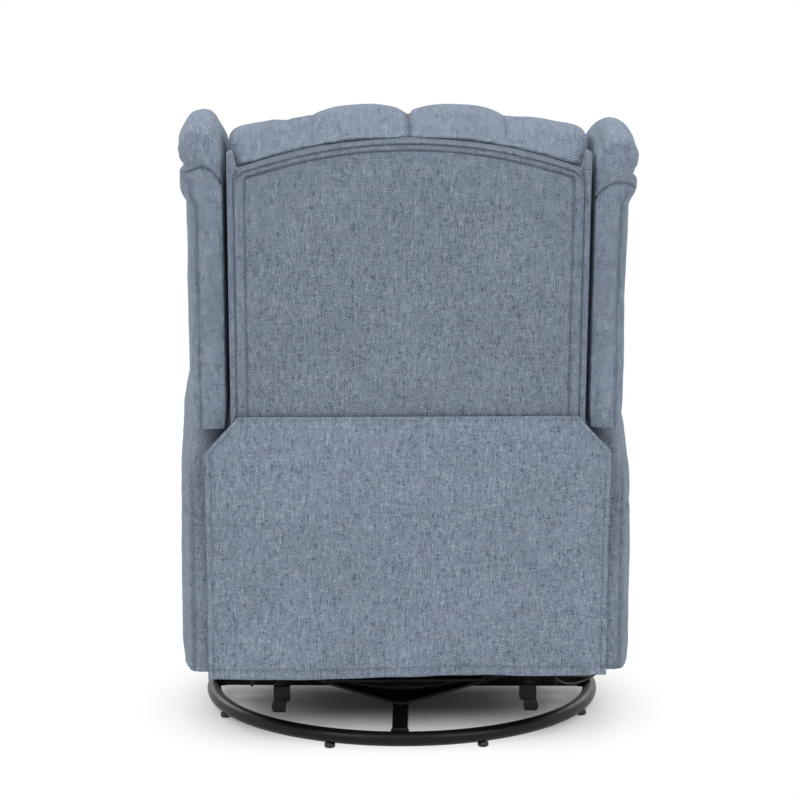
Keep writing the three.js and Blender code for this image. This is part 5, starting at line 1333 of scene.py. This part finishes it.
@dataclass
class ArmPad(StuffedPiece):
    """An arm: barrelled outside, with a padded top, and open below for its frame."""

    body: str = "carriage"
    side: float = 1.0
    voxel: float = 0.0044
    fine: bool = False
    cap: float = 0.006
    pressure: float = 0.0
    start_inside: float = 0.0012
    relax_rounds: int = 5
    fill: float = 0.6
    inner: float = 0.255
    rear: float = 0.345
    front: float = -0.424
    bottom: float = 0.136
    crown: float = 0.628
    crown_fall: float = 0.130
    pad_depth: float = 0.105
    pad_swell: float = 0.0022
    pad_seam_depth: float = 0.0030
    rear_seam_x: float = 0.3225
    rear_seam_depth: float = 0.0024
    front_seam_in: float = 0.013
    front_seam_depth: float = 0.0028

    def top(self, y: np.ndarray) -> np.ndarray:
        """Returns the height of the arm's crown along its length, which drops towards the rear."""
        share = np.clip((y + 0.10) / 0.445, 0.0, 1.0)
        return self.crown - self.crown_fall * np.sin(share * math.pi / 2) ** 2

    def held(self, at: np.ndarray) -> np.ndarray:
        """Holds the inner face, the bottom rim and the hollow round the frame.

        Args:
            at: points in the piece's own frame.

        Returns:
            How firmly each point is held, from 0 to 1.
        """
        x, y, z = np.abs(at[:, 0]), at[:, 1], at[:, 2]
        inner = 1.0 - smoothstep(x, self.inner + 0.001, self.inner + 0.005)
        hollow = (z < 0.445) & (x > 0.270) & (x < 0.3215) & (y > -0.407) & (y < 0.328)
        rim = 1.0 - smoothstep(z, 0.138, 0.150)
        cup = (self.side < 0) & (np.abs(y + 0.14) < 0.072) & (np.abs(z - 0.40) < 0.052)
        return np.clip(np.maximum.reduce([inner, hollow.astype(float), rim, cup.astype(float)]), 0.0, 1.0)

    def sewn(self, at: np.ndarray, out: np.ndarray) -> tuple[np.ndarray, np.ndarray]:
        """Sews the top pad's seams, the seam down the rear corner and the front panel's edge.

        Args:
            at: points in the piece's own frame.
            out: the outward direction at each point.

        Returns:
            Where each point moves, and how deep in a seam it lies, from 0 to 1, for painted seam shade.
        """
        x, y = np.abs(at[:, 0]), at[:, 1]
        below_top = self.top(y) - at[:, 2]
        outward, rearward = out[:, 0] * self.side, out[:, 1]
        pad_line = self.pad_depth + 0.012 * np.sin(y * 4.0)
        pad_seam = bell(below_top - pad_line, 0.0032) * smoothstep(outward, 0.2, 0.7)
        on_pad = 1.0 - smoothstep(below_top, pad_line - 0.03, pad_line + 0.004)
        swell = self.pad_swell * on_pad * smoothstep(outward, 0.1, 0.6)
        rear_seam = bell(x - self.rear_seam_x, 0.0030) * smoothstep(rearward, -0.1, 0.55) * (y > 0.25)
        forward = smoothstep(-rearward, 0.80, 0.97)
        front_seam = bell(y - self.front - self.front_seam_in, 0.0030) * (1.0 - forward)
        soft = 0.0016 * ripple(at * np.array([1.0, 0.8, 1.0]), 0.075, 31.0 * self.side)
        soft = soft + 0.0007 * ripple(at, 0.026, 17.0)
        free = 1.0 - self.held(at)
        sewn = -self.pad_seam_depth * pad_seam + swell - self.rear_seam_depth * rear_seam
        step = sewn - self.front_seam_depth * front_seam + soft
        moved = at + out * (step * free)[:, None]
        moved[:, 1] = np.minimum(moved[:, 1], self.rear - 0.0003)
        moved[:, 2] = np.maximum(moved[:, 2], self.bottom)
        return moved, 0.55 * pad_seam + 0.55 * rear_seam + 0.5 * front_seam


# Rear flap


@dataclass
class RearFlap:
    """The loose flap that hangs from the back's seam over the seat box, with turned and sewn edges."""

    top_half: float = 0.252
    half: float = 0.3015
    seam_z: float = 0.535
    shoulder_z: float = 0.481
    bottom: float = 0.1285
    seam_y: float = 0.3846
    arm_y: float = 0.3454
    fall_reach: float = 0.30
    thickness: float = 0.0016
    hem: float = 0.0135
    side_hem: float = 0.0135 * 0.62
    seam_drop: float = 0.0045
    fold_depth: float = 0.0032
    hem_rise: float = 0.0009
    stitch_depth: float = 0.0011
    seam_depth: float = 0.0016
    pitch: float = 0.0028
    long_side: float = 0.0042

    def half_at(self, z: np.ndarray) -> np.ndarray:
        """Returns half the flap's width at height z."""
        share = np.clip((self.seam_z - z) / (self.seam_z - self.shoulder_z), 0.0, 1.0)
        return self.top_half + (self.half - self.top_half) * share

    def hang(self, u: np.ndarray, z: np.ndarray) -> np.ndarray:
        """Returns how far to the rear the cloth lies; u runs from -1 to 1 across it.

        Args:
            u: the place across the flap, from -1 to 1.
            z: the height.

        Returns:
            The cloth's y at each point.
        """
        fall = smoothstep(self.seam_z - z, 0.0, self.fall_reach)
        height = self.seam_z - self.bottom
        middle = (1.0 - u**2) * (z - self.bottom) / height
        fold = self.fold_depth * (1.0 + np.cos(math.pi * 3.0 * u)) / 2.0
        y = self.seam_y + (self.arm_y - self.seam_y) * fall + (self.seam_y - self.arm_y) * middle * fall
        low = smoothstep(self.seam_z - z, 0.05, height)
        waves = 0.0012 * np.cos(9.0 * u + 1.3 + 1.1 * np.sin(3.0 * u)) * low
        waves = waves + 0.0010 * np.cos(23.0 * u + 0.6) * low**2
        at = np.column_stack([u * self.half, y, z])
        rough = 0.0016 * ripple(at * np.array([1.5, 1.0, 0.45]), 0.06, 41.0) + 0.0005 * ripple(at, 0.018, 6.0)
        edge = smoothstep(1.0 - np.abs(u), 0.0, 0.06)
        loose = waves * (1.0 - np.abs(u) ** 6) + rough * smoothstep(self.seam_z - z, 0.0, 0.05)
        return y + fold * fall + 0.0022 + loose * (0.35 + 0.65 * edge)

    def hem_relief(self, x: np.ndarray, z: np.ndarray) -> np.ndarray:
        """Returns how far the turned edges stand proud, and their stitched grooves.

        Args:
            x: the place across the flap.
            z: the height.

        Returns:
            The relief at each point.
        """
        side = self.half_at(z) - np.abs(x)
        slope = (self.half - self.top_half) / (self.seam_z - self.shoulder_z)
        side = np.where(z > self.shoulder_z, side / math.sqrt(1.0 + slope**2), side)
        foot = z - self.bottom
        relief = np.zeros(len(x))
        for inside, deep in ((side, self.side_hem), (foot, self.hem)):
            relief += self.hem_rise * (1.0 - smoothstep(inside, deep - 0.0015, deep + 0.0015))
            relief -= self.stitch_depth * bell(inside - deep, 0.0014)
        relief -= self.seam_depth * bell(self.seam_z - z - self.seam_drop, 0.0016)
        return relief

    def seams(self, x: np.ndarray, z: np.ndarray) -> np.ndarray:
        """Returns how deep in a stitched line each point lies, from 0 to 1, for painted shade along the
        stitching.

        Args:
            x: the place across the flap.
            z: the height.

        Returns:
            The depth at each point.
        """
        side = self.half_at(z) - np.abs(x)
        foot, head = z - self.bottom, self.seam_z - z
        weighted = (0.34, side - self.side_hem), (0.42, foot - self.hem), (0.45, head - self.seam_drop)
        return sum(weight * bell(away, 0.0014) for weight, away in weighted)

    def surface(self, x: np.ndarray, z: np.ndarray) -> np.ndarray:
        """Returns points on the flap's outer face.

        Args:
            x: the place across the flap.
            z: the height.

        Returns:
            One row for each point.
        """
        u = x / self.half_at(z)
        at_foot = 1.0 - smoothstep(z, self.bottom, self.bottom + 0.10)
        drop = self.long_side * smoothstep(x, -0.10, 0.17) * at_foot
        return np.column_stack([x, self.hang(u, z) + self.hem_relief(x, z), z - drop])

    def build(self, finishes: Finishes) -> list[bpy.types.Object]:
        """Makes the flap and its stitching.

        Args:
            finishes: the chair's finishes.

        Returns:
            The pieces made.
        """
        work = bmesh.new()
        height = self.seam_z - self.bottom
        columns, rows = (int(reach / self.pitch) for reach in (2 * self.half, height))
        bmesh.ops.create_grid(work, x_segments=columns, y_segments=rows, size=1.0)
        flap = new_piece("rear_flap_cloth", work)
        flat = points_of(flap)
        z = self.bottom + (flat[:, 1] + 1.0) / 2.0 * height
        x = flat[:, 0] * self.half_at(z)
        at_foot = 1.0 - smoothstep(z, self.bottom, self.bottom + 0.10)
        at = self.surface(x, z)
        at[:, 2] += 0.0007 * np.cos(flat[:, 0] * 5.0 + 0.5) * at_foot + 0.002 * at_foot
        move_points(flap, at)
        paint_seam_shade(flap, self.seams(x, z))
        self._face_rear(flap)
        modify(flap, "SOLIDIFY", thickness=self.thickness, offset=-1.0, use_even_offset=True)
        settle(flap)
        shade(flap)
        lay_weave(flap)
        # The flap takes the cloth with painted light.
        finishes.dress(flap, Slot.FABRIC, "flap_painted_light")
        thread = self._stitching(finishes)
        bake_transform(flap)
        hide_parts("rear_flap")
        LOG.info("%s: %d faces", flap.name, len(flap.data.polygons))
        return [flap, thread]

    def _face_rear(self, flap: bpy.types.Object) -> None:
        """Turns the sheet's outer side to the rear."""
        if normals_of(flap)[:, 1].mean() < 0:
            flap.data.flip_normals()

    def _stitching(self, finishes: Finishes) -> bpy.types.Object:
        """Sews the stitches along the sides and the hem.

        Args:
            finishes: the chair's finishes.

        Returns:
            The row of stitches.
        """
        foot_z = self.bottom + self.hem + 0.003
        z_down = np.arange(self.seam_z - 0.008, foot_z, -0.004)
        left = np.column_stack([-(self.half_at(z_down) - self.side_hem), z_down])
        along = np.arange(left[-1, 0], -left[-1, 0], 0.004)
        foot = np.column_stack([along, np.full(len(along), foot_z - 0.001)])
        line = np.vstack([left, foot, left[::-1] * np.array([-1.0, 1.0])])
        rows = self.surface(line[:, 0], line[:, 1]) + np.array([0.0, 0.0005, 0.0])
        row = stitches(
            "rear_flap_stitching", [Vector(p) for p in rows], [Vector((0.0, 1.0, 0.0))] * len(rows)
        )
        finishes.dress(row, Slot.FABRIC, "thread")
        shade(row)
        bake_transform(row)
        return row


# Hard pieces


@dataclass
class Pressing:
    """A hard piece of the frame with its edges eased, as stamping, rolling or moulding leaves them."""

    node: str
    slot: Slot
    ease: float = 0.0006
    angle: float = math.radians(32)

    def shaped(self, at: np.ndarray) -> np.ndarray:
        """Returns where the solid's points stand in the finished piece."""
        return at

    def build(self, finishes: Finishes) -> bpy.types.Object:
        """Copies the frame's solid and eases its edges.

        Args:
            finishes: the chair's finishes.

        Returns:
            The finished piece, on its body.
        """
        piece = new_piece(self.node + "_made", merged_copy(self.node))
        work = bmesh.new()
        work.from_mesh(piece.data)
        bmesh.ops.dissolve_limit(work, angle_limit=math.radians(1.0), verts=work.verts, edges=work.edges)
        work.to_mesh(piece.data)
        work.free()
        move_points(piece, self.shaped(points_of(piece)))
        if self.ease:
            ease_edges(piece, self.ease, self.angle)
        shade(piece, math.radians(40 if self.ease else 70))
        finishes.dress(piece, self.slot)
        return carry(piece, FRAME["node_body"][self.node], [self.node])


@dataclass
class FloorCross(Pressing):
    """The cross under the bearing, with its plate, as the photo shows it turned."""

    node: str = "base_cross"
    slot: Slot = Slot.BLACK_STEEL
    ease: float = 0.0009
    turn: float = math.radians(-2.0)
    plate_share: float = 0.87
    spoke_share: float = 0.88
    underside: float = 0.018
    rise: float = 0.0045
    hub: float = 0.04
    spokes_from: float = 0.27

    def shaped(self, at: np.ndarray) -> np.ndarray:
        """Draws the plate in, makes the spokes slimmer and turns the cross.

        Args:
            at: the solid's points.

        Returns:
            Where each point stands then.
        """
        reach = np.hypot(at[:, 0], at[:, 1])
        plate = (reach > self.hub) & (reach < self.spokes_from)
        flat = np.where(plate[:, None], at[:, :2] * self.plate_share, at[:, :2])
        across = np.argmin(np.abs(at[:, :2]), axis=1)
        rows = np.flatnonzero(reach >= self.spokes_from)
        flat[rows, across[rows]] *= self.spoke_share
        c, s = math.cos(self.turn), math.sin(self.turn)
        z = np.where(at[:, 2] < self.underside, at[:, 2] + self.rise, at[:, 2])
        return np.column_stack([flat[:, 0] * c - flat[:, 1] * s, flat[:, 0] * s + flat[:, 1] * c, z])


@dataclass
class AntiTipLeg(Pressing):
    """A leg that stops the chair from tipping back: a bracket with a narrow strap."""

    slot: Slot = Slot.BLACK_STEEL
    ease: float = 0.0008
    inward: float = 0.010
    strap_x: float = 0.1935
    strap_share: float = 0.42
    strap_top: float = 0.050
    solid_x: float = 0.204

    def shaped(self, at: np.ndarray) -> np.ndarray:
        """Moves the bracket in and tapers the strap below it.

        Args:
            at: the solid's points.

        Returns:
            Where each point stands then.
        """
        x = np.abs(at[:, 0])
        strap = at[:, 2] < self.strap_top
        x = np.where(strap, self.strap_x + (x - self.solid_x) * self.strap_share, x - self.inward)
        return np.column_stack([x * np.sign(at[:, 0]), at[:, 1], at[:, 2]])


@dataclass
class AntiTipBoot(Pressing):
    """The rubber boot on an anti-tip leg."""

    slot: Slot = Slot.RUBBER
    ease: float = 0.0010
    centre_x: float = 0.199
    width_share: float = 0.72
    rise: float = 0.0045
    height_share: float = 0.84
    solid_x: float = 0.207
    head_z: float = 0.029

    def shaped(self, at: np.ndarray) -> np.ndarray:
        """Draws the boot in to the size of the photo's."""
        x = self.centre_x + (np.abs(at[:, 0]) - self.solid_x) * self.width_share
        z = self.head_z + self.rise + (at[:, 2] - self.head_z) * self.height_share
        return np.column_stack([x * np.sign(at[:, 0]), at[:, 1], z])


@dataclass
class TimberWrap:
    """The cover where it's drawn round a timber part and stapled out of sight."""

    node: str
    thickness: float = 0.0009

    def build(self, finishes: Finishes) -> bpy.types.Object:
        """Lays a skin of cloth over the timber.

        Args:
            finishes: the chair's finishes.

        Returns:
            The finished skin, on the timber's body.
        """
        piece = new_piece(self.node + "_wrap", merged_copy(self.node))
        modify(piece, "SOLIDIFY", thickness=self.thickness, offset=1.0, use_even_offset=True)
        settle(piece)
        shade(piece, math.radians(35))
        lay_weave(piece)
        finishes.dress(piece, Slot.FABRIC)
        return carry(piece, FRAME["node_body"][self.node])


@dataclass
class FloorRing:
    """The round steel tube that the chair stands on, welded to its cross."""

    radius: float = 0.310
    tube: float = 0.0115
    centre_z: float = 0.0195
    cross_turn: float = FloorCross.turn
    spokes: int = 4
    beads: int = 7
    bead: tuple[float, float, float] = (0.0024, 0.0017, 0.0020)
    bead_aside: float = 0.0124
    bead_foot: float = 0.0205
    bead_pitch: float = 0.0022

    def build(self, finishes: Finishes) -> list[bpy.types.Object]:
        """Bends the tube and welds it to the cross.

        Args:
            finishes: the chair's finishes.

        Returns:
            The pieces made.
        """
        work = bmesh.new()
        section = Matrix.Translation((self.radius, 0.0, self.centre_z)) @ Matrix.Rotation(math.pi / 2, 4, "X")
        circle = bmesh.ops.create_circle(work, cap_ends=False, segments=28, radius=self.tube, matrix=section)
        edges = list({e for v in circle["verts"] for e in v.link_edges})
        geom = circle["verts"] + edges
        bmesh.ops.spin(
            work, geom=geom, cent=(0, 0, 0), axis=(0, 0, 1), angle=math.tau, steps=144, use_merge=True
        )
        bmesh.ops.remove_doubles(work, verts=work.verts, dist=1e-5)
        bmesh.ops.recalc_face_normals(work, faces=work.faces)
        ring = new_piece("base_ring_tube", work)
        shade(ring)
        finishes.dress(ring, Slot.BLACK_STEEL)
        carry(ring, "base", ["base_ring"])
        return [ring, self._welds(finishes)]

    def _welds(self, finishes: Finishes) -> bpy.types.Object:
        """Lays a weld bead on each side of every spoke's end.

        Args:
            finishes: the chair's finishes.

        Returns:
            The beads, as one piece.
        """
        work = bmesh.new()
        for k in range(self.spokes):
            turn = Matrix.Rotation(self.cross_turn + k * math.pi / 2, 4, "Z")
            for side in (-1, 1):
                for step in range(self.beads):
                    z = self.bead_foot + self.bead_pitch * step
                    reach = self.radius - math.sqrt(max(self.tube**2 - (z - self.centre_z) ** 2, 0.0)) - 0.0006
                    spot = Matrix.Translation((reach, side * self.bead_aside, z))
                    size = Matrix.Diagonal((*self.bead, 1.0))
                    bmesh.ops.create_icosphere(work, subdivisions=2, radius=1.0, matrix=turn @ spot @ size)
        beads = new_piece("base_ring_welds", work)
        shade(beads)
        finishes.dress(beads, Slot.BLACK_STEEL)
        return carry(beads, "base")


@dataclass
class ReleaseCable:
    """The release cable: a black sheath from the lever's cup down the arm to its stop on the carriage."""

    radius: float = 0.0019
    ferrule_length: float = 0.012
    ferrule_radii: tuple[float, float] = (0.0026, 0.0032)
    ferrule_drop: float = 0.0065
    stop: Vector = field(default_factory=lambda: Vector((-0.2432, 0.230, 0.2357)))
    route: tuple[tuple[float, float, float], ...] = (
        (-0.3262, -0.140, 0.400),
        (-0.3222, -0.140, 0.400),
        (-0.3162, -0.140, 0.400),
        (-0.3113, -0.128, 0.390),
        (-0.3113, -0.090, 0.350),
        (-0.3113, 0.020, 0.250),
        (-0.3113, 0.130, 0.190),
        (-0.3113, 0.215, 0.158),
        (-0.3053, 0.276, 0.139),
        (-0.2913, 0.316, 0.125),
        (-0.2693, 0.334, 0.118),
        (-0.2492, 0.337, 0.114),
        (-0.2312, 0.333, 0.118),
        (-0.2222, 0.318, 0.132),
        (-0.2242, 0.288, 0.152),
        (-0.2342, 0.256, 0.178),
        (-0.2432, 0.234, 0.206),
        (-0.2432, 0.230, 0.222),
        (-0.2432, 0.230, 0.2357),
    )

    def build(self, finishes: Finishes) -> bpy.types.Object:
        """Runs the sheath along its route, with a ferrule at the stop.

        Args:
            finishes: the chair's finishes.

        Returns:
            The cable.
        """
        curve = bpy.data.curves.new("release_cable_sheath", "CURVE")
        curve.dimensions = "3D"
        curve.bevel_depth = self.radius
        curve.bevel_resolution = 3
        curve.resolution_u = 6
        curve.use_fill_caps = True
        spline = curve.splines.new("POLY")
        line = self._smooth_route()
        spline.points.add(len(line) - 1)
        for point, place in zip(spline.points, line):
            point.co = (*place, 1.0)
        cable = bpy.data.objects.new("release_cable_sheath", curve)
        bpy.context.scene.collection.objects.link(cable)
        curve.materials.append(finishes.made[Slot.BLACK_PLASTIC.value])
        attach(cable, "carriage")
        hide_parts("release_cable")
        self._ferrule(finishes)
        return cable

    def _smooth_route(self) -> list[Vector]:
        """Returns points every few millimetres along a centripetal curve through the route.

        Returns:
            The points, from the lever's end to the stop.
        """
        points = [Vector(p) for p in self.route]
        points = [2 * points[0] - points[1], *points, 2 * points[-1] - points[-2]]
        line = [points[1].copy()]
        for a, b, c, d in zip(points, points[1:], points[2:], points[3:]):
            t = [0.0]
            for p, q in ((a, b), (b, c), (c, d)):
                t.append(t[-1] + max((q - p).length, 1e-9) ** 0.5)
            steps = max(2, int((c - b).length / 0.006))
            for k in range(1, steps + 1):
                s = t[1] + (t[2] - t[1]) * k / steps
                ab = a.lerp(b, (s - t[0]) / (t[1] - t[0]))
                bc = b.lerp(c, (s - t[1]) / (t[2] - t[1]))
                cd = c.lerp(d, (s - t[2]) / (t[3] - t[2]))
                abc = ab.lerp(bc, (s - t[0]) / (t[2] - t[0]))
                bcd = bc.lerp(cd, (s - t[1]) / (t[3] - t[1]))
                line.append(abc.lerp(bcd, (s - t[1]) / (t[2] - t[1])))
        return line

    def _ferrule(self, finishes: Finishes) -> None:
        """Crimps a short sleeve over the cable's end.

        Args:
            finishes: the chair's finishes.
        """
        work = bmesh.new()
        end = self.stop - Vector((0.0, 0.0, self.ferrule_drop))
        low, high = self.ferrule_radii
        sizes = {"radius1": low, "radius2": high, "depth": self.ferrule_length}
        bmesh.ops.create_cone(work, cap_ends=True, segments=24, matrix=Matrix.Translation(end), **sizes)
        rims = [e for e in work.edges if len({v.co.z > end.z for v in e.verts}) == 1]
        bmesh.ops.bevel(work, geom=rims, offset=0.0005, segments=2, profile=0.5, affect="EDGES", material=-1)
        sleeve = new_piece("release_cable_ferrule", work)
        shade(sleeve, math.radians(40))
        finishes.dress(sleeve, Slot.ZINC_STEEL)
        carry(sleeve, "carriage")


@dataclass
class FloorGlide:
    """A plastic glide under the ring: a domed foot with a clip round the tube."""

    node: str
    ease: float = 0.0005
    angle: float = math.radians(50)

    def build(self, finishes: Finishes) -> bpy.types.Object:
        """Copies the frame's solid and eases its edges.

        Args:
            finishes: the chair's finishes.

        Returns:
            The finished glide.
        """
        piece = new_piece(self.node + "_made", merged_copy(self.node))
        ease_edges(piece, self.ease, self.angle)
        shade(piece, self.angle)
        finishes.dress(piece, Slot.BLACK_PLASTIC)
        return carry(piece, FRAME["node_body"][self.node], [self.node])


def both(name: str) -> tuple[str, str]:
    """Returns the names of a part's left and right nodes."""
    return name + "_left", name + "_right"


# The frame's hard pieces: their finish, how far their edges are eased, and their nodes
PRESSINGS: tuple[tuple[Slot, float, tuple[str, ...]], ...] = (
    (Slot.BLACK_STEEL, 0.0005, ("swivel_plate",)),
    (Slot.BLACK_STEEL, 0.0006, both("glider_side")),
    (Slot.BLACK_STEEL, 0.0010, ("glider_rail_front", "glider_rail_rear")),
    (Slot.BLACK_STEEL, 0.0005, both("carriage_plate")),
    (Slot.BLACK_STEEL, 0.0004, ("lower_race", "upper_race")),
    (Slot.ZINC_STEEL, 0.0, ("ball_cage",)),
    (Slot.ZINC_STEEL, 0.0004, ("king_pin",)),
    (Slot.ZINC_STEEL, 0.0005, both("front_glide_link") + both("rear_glide_link")),
    (Slot.ZINC_STEEL, 0.0, ("seat_springs", "back_springs")),
    (Slot.ZINC_STEEL, 0.0005, both("footrest_lower_link") + both("footrest_upper_link")),
    (Slot.ZINC_STEEL, 0.0005, both("footrest_control_link") + both("footrest_bracket") + both("back_hinge")),
    (Slot.WOOD, 0.0010, ("rear_box_rail", *both("arm_frame"), "seat_frame", "footrest_board", "back_frame")),
    (Slot.BLACK_PLASTIC, 0.0006, ("release_cup",)),
    (Slot.BLACK_PLASTIC, 0.0010, ("release_lever",)),
)


# The studio

@dataclass
class Softbox:
    """A square soft lamp, aimed at the chair's middle."""

    name: str
    place: Vector
    size: float
    level: float

    def hang(self, middle: Vector) -> None:
        """Hangs the lamp so that it adds this level on a face turned to it, aimed at middle.

        Args:
            middle: the point that it is aimed at.
        """
        data = bpy.data.lights.new(self.name, "AREA")
        data.shape = "SQUARE"
        data.size = self.size
        away = self.place - middle
        data.energy = self.level * math.pi**2 * away.length_squared
        lamp = bpy.data.objects.new(self.name, data)
        bpy.context.scene.collection.objects.link(lamp)
        lamp.location = self.place
        lamp.rotation_euler = away.to_track_quat("Z", "Y").to_euler()


@dataclass
class Studio:
    """A plain white studio: a pale floor, soft light from all round, and the camera behind the chair.

    Seen from above, the floor keeps the chair's shadow out to shade_half, and runs out into white over run_out;
    that white is a glow for camera and glossy rays, which near the chair is painted light fading the chair's
    cast shadow.
    """

    distance: float = 4.066
    height: float = 1.171
    azimuth: float = math.radians(1.4)
    aside: float = 0.003
    pitch: float = math.radians(9.42)
    focal: float = 113.94
    sky: float = 0.50
    sky_colour: tuple[float, float, float, float] = (0.985, 0.99, 1.0, 1.0)
    floor_colour: float = 0.90
    floor_radius: float = 9.0
    shade_half: tuple[float, float] = (0.20, 0.45)
    shade_rear: float = 0.035
    run_out: tuple[float, float] = (0.035, 0.33)
    middle: Vector = field(default_factory=lambda: Vector((0.0, 0.0, 0.5)))

    def set_camera(self) -> None:
        """Puts the camera behind the chair, looking slightly down at it."""
        data = bpy.data.cameras.new("camera")
        data.sensor_width = 36.0
        data.lens = self.focal
        data.clip_start, data.clip_end = 0.1, 100.0
        camera = bpy.data.objects.new("camera", data)
        bpy.context.scene.collection.objects.link(camera)
        turn, out = math.sin(self.azimuth), math.cos(self.azimuth)
        across, back = turn * self.distance + out * self.aside, out * self.distance - turn * self.aside
        camera.location = (across, back, self.height)
        camera.rotation_euler = (math.pi / 2 - self.pitch, 0.0, math.pi - self.azimuth)
        bpy.context.scene.camera = camera

    def set_light(self) -> None:
        """Lays the floor, lights the room and hangs the lamps."""
        scene = bpy.context.scene
        scene.view_settings.view_transform = "Standard"
        scene.world = self._room()
        self._floor()
        boxes = (
            Softbox("overhead", Vector((0.0, 0.7, 3.4)), 2.4, 0.42),
            Softbox("behind_left", Vector((2.2, 2.8, 3.0)), 1.8, 0.27),
            Softbox("behind_right", Vector((-2.4, 2.6, 2.8)), 1.8, 0.23),
            Softbox("front_left", Vector((2.3, -2.8, 2.2)), 1.8, 0.24),
            Softbox("front_right", Vector((-2.3, -2.8, 2.2)), 1.8, 0.20),
        )
        for box in boxes:
            box.hang(self.middle)

    def _seen(self, n: NodeTree) -> bpy.types.NodeSocket:
        """Returns 1 for a ray from the camera, or from something glossy or clear."""
        path = n.node("LightPath").outputs
        shown = n.math("MAXIMUM", path["Is Camera Ray"], path["Is Glossy Ray"])
        return n.math("MAXIMUM", shown, path["Is Transmission Ray"])

    def _room(self) -> bpy.types.World:
        """Makes the room: white to look at, and softer as a light.

        Returns:
            The room.
        """
        room = bpy.data.worlds.new("studio_room")
        room.use_nodes = True
        n = NodeTree(room.node_tree)
        lit = n.node("Background", {0: self.sky_colour, 1: self.sky}).outputs[0]
        seen = n.node("Background", {0: WHITE}).outputs[0]
        n.node("OutputWorld", {0: n.node("MixShader", {0: self._seen(n), 1: lit, 2: seen}).outputs[0]})
        return room

    def _floor(self) -> None:
        """Lays a pale floor that keeps the chair's shadow, fades it near the chair with painted light, and runs
        out into white.
        """
        work = bmesh.new()
        bmesh.ops.create_circle(work, cap_ends=True, segments=96, radius=self.floor_radius)
        floor = new_piece("studio_floor", work)
        material = bpy.data.materials.new("pale_floor")
        material.use_nodes = True
        n = NodeTree(material.node_tree)
        matt = n.node("BsdfDiffuse", {0: (self.floor_colour,) * 3 + (1.0,)}).outputs[0]
        white = n.node("Emission", {0: WHITE}).outputs[0]
        # Glowing white mixes in by distance from an oval round the chair: near the chair it is painted light
        # over the cast shadow, further off the plain white backdrop.
        parts = n.node("SeparateXYZ", {0: n.place()}).outputs
        near, far = self.shade_half
        aside = {"Value": n.math("ABSOLUTE", parts[0]), "From Min": near, "From Max": far}
        beyond = n.node("MapRange", {**aside, "To Max": self.run_out[1]}).outputs[0]
        oval = n.node("CombineXYZ", {0: beyond, 1: n.math("SUBTRACT", parts[1], self.shade_rear)}).outputs[0]
        reach = n.node("VectorMath", {0: oval}, operation="LENGTH").outputs["Value"]
        ends = {"Value": reach, "From Min": self.run_out[0], "From Max": self.run_out[1]}
        painted_white_share = n.node("MapRange", ends, interpolation_type="SMOOTHSTEP").outputs[0]
        share = n.times(painted_white_share, self._seen(n))
        n.node("OutputMaterial", {"Surface": n.node("MixShader", {0: share, 1: matt, 2: white}).outputs[0]})
        floor.data.materials.append(material)


def main() -> None:
    """Builds the chair's pieces in order and lights them."""
    FRAME.update(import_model())
    bodies = FRAME["record"]["behaviour"]["bodies"]
    FRAME["node_body"] = {node: body for body, nodes in bodies.items() for node in nodes}
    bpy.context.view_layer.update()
    finishes = Finishes()
    studio = Studio()
    studio.set_camera()
    ReleaseCable().build(finishes)
    measures = BackMeasures()
    RearPanel(measures).build(finishes)
    BackCushion(measures=measures).build(finishes)
    for name, side in SIDES:
        Wing(node=f"wing_{name}", side=side, lift=0.006 * side).build(finishes)
        ArmPad(node=f"arm_pad_{name}", side=side).build(finishes)
    SeatCushion().build(finishes)
    FootrestPad().build(finishes)
    RearFlap().build(finishes)
    FloorRing().build(finishes)
    FloorCross().build(finishes)
    for name, _ in SIDES:
        AntiTipLeg(f"anti_tip_leg_{name}").build(finishes)
        AntiTipBoot(f"anti_tip_boot_{name}").build(finishes)
    for k in range(8):
        FloorGlide(f"ring_glide_{k + 1}").build(finishes)
    for slot, ease, nodes in PRESSINGS:
        for node in nodes:
            Pressing(node, slot, ease).build(finishes)
    for node in ("seat_frame", "footrest_board", "back_frame"):
        TimberWrap(node).build(finishes)
    studio.set_light()


if __name__ == "__main__":
    logging.basicConfig(level=logging.INFO, format="%(name)s: %(message)s")
    main()
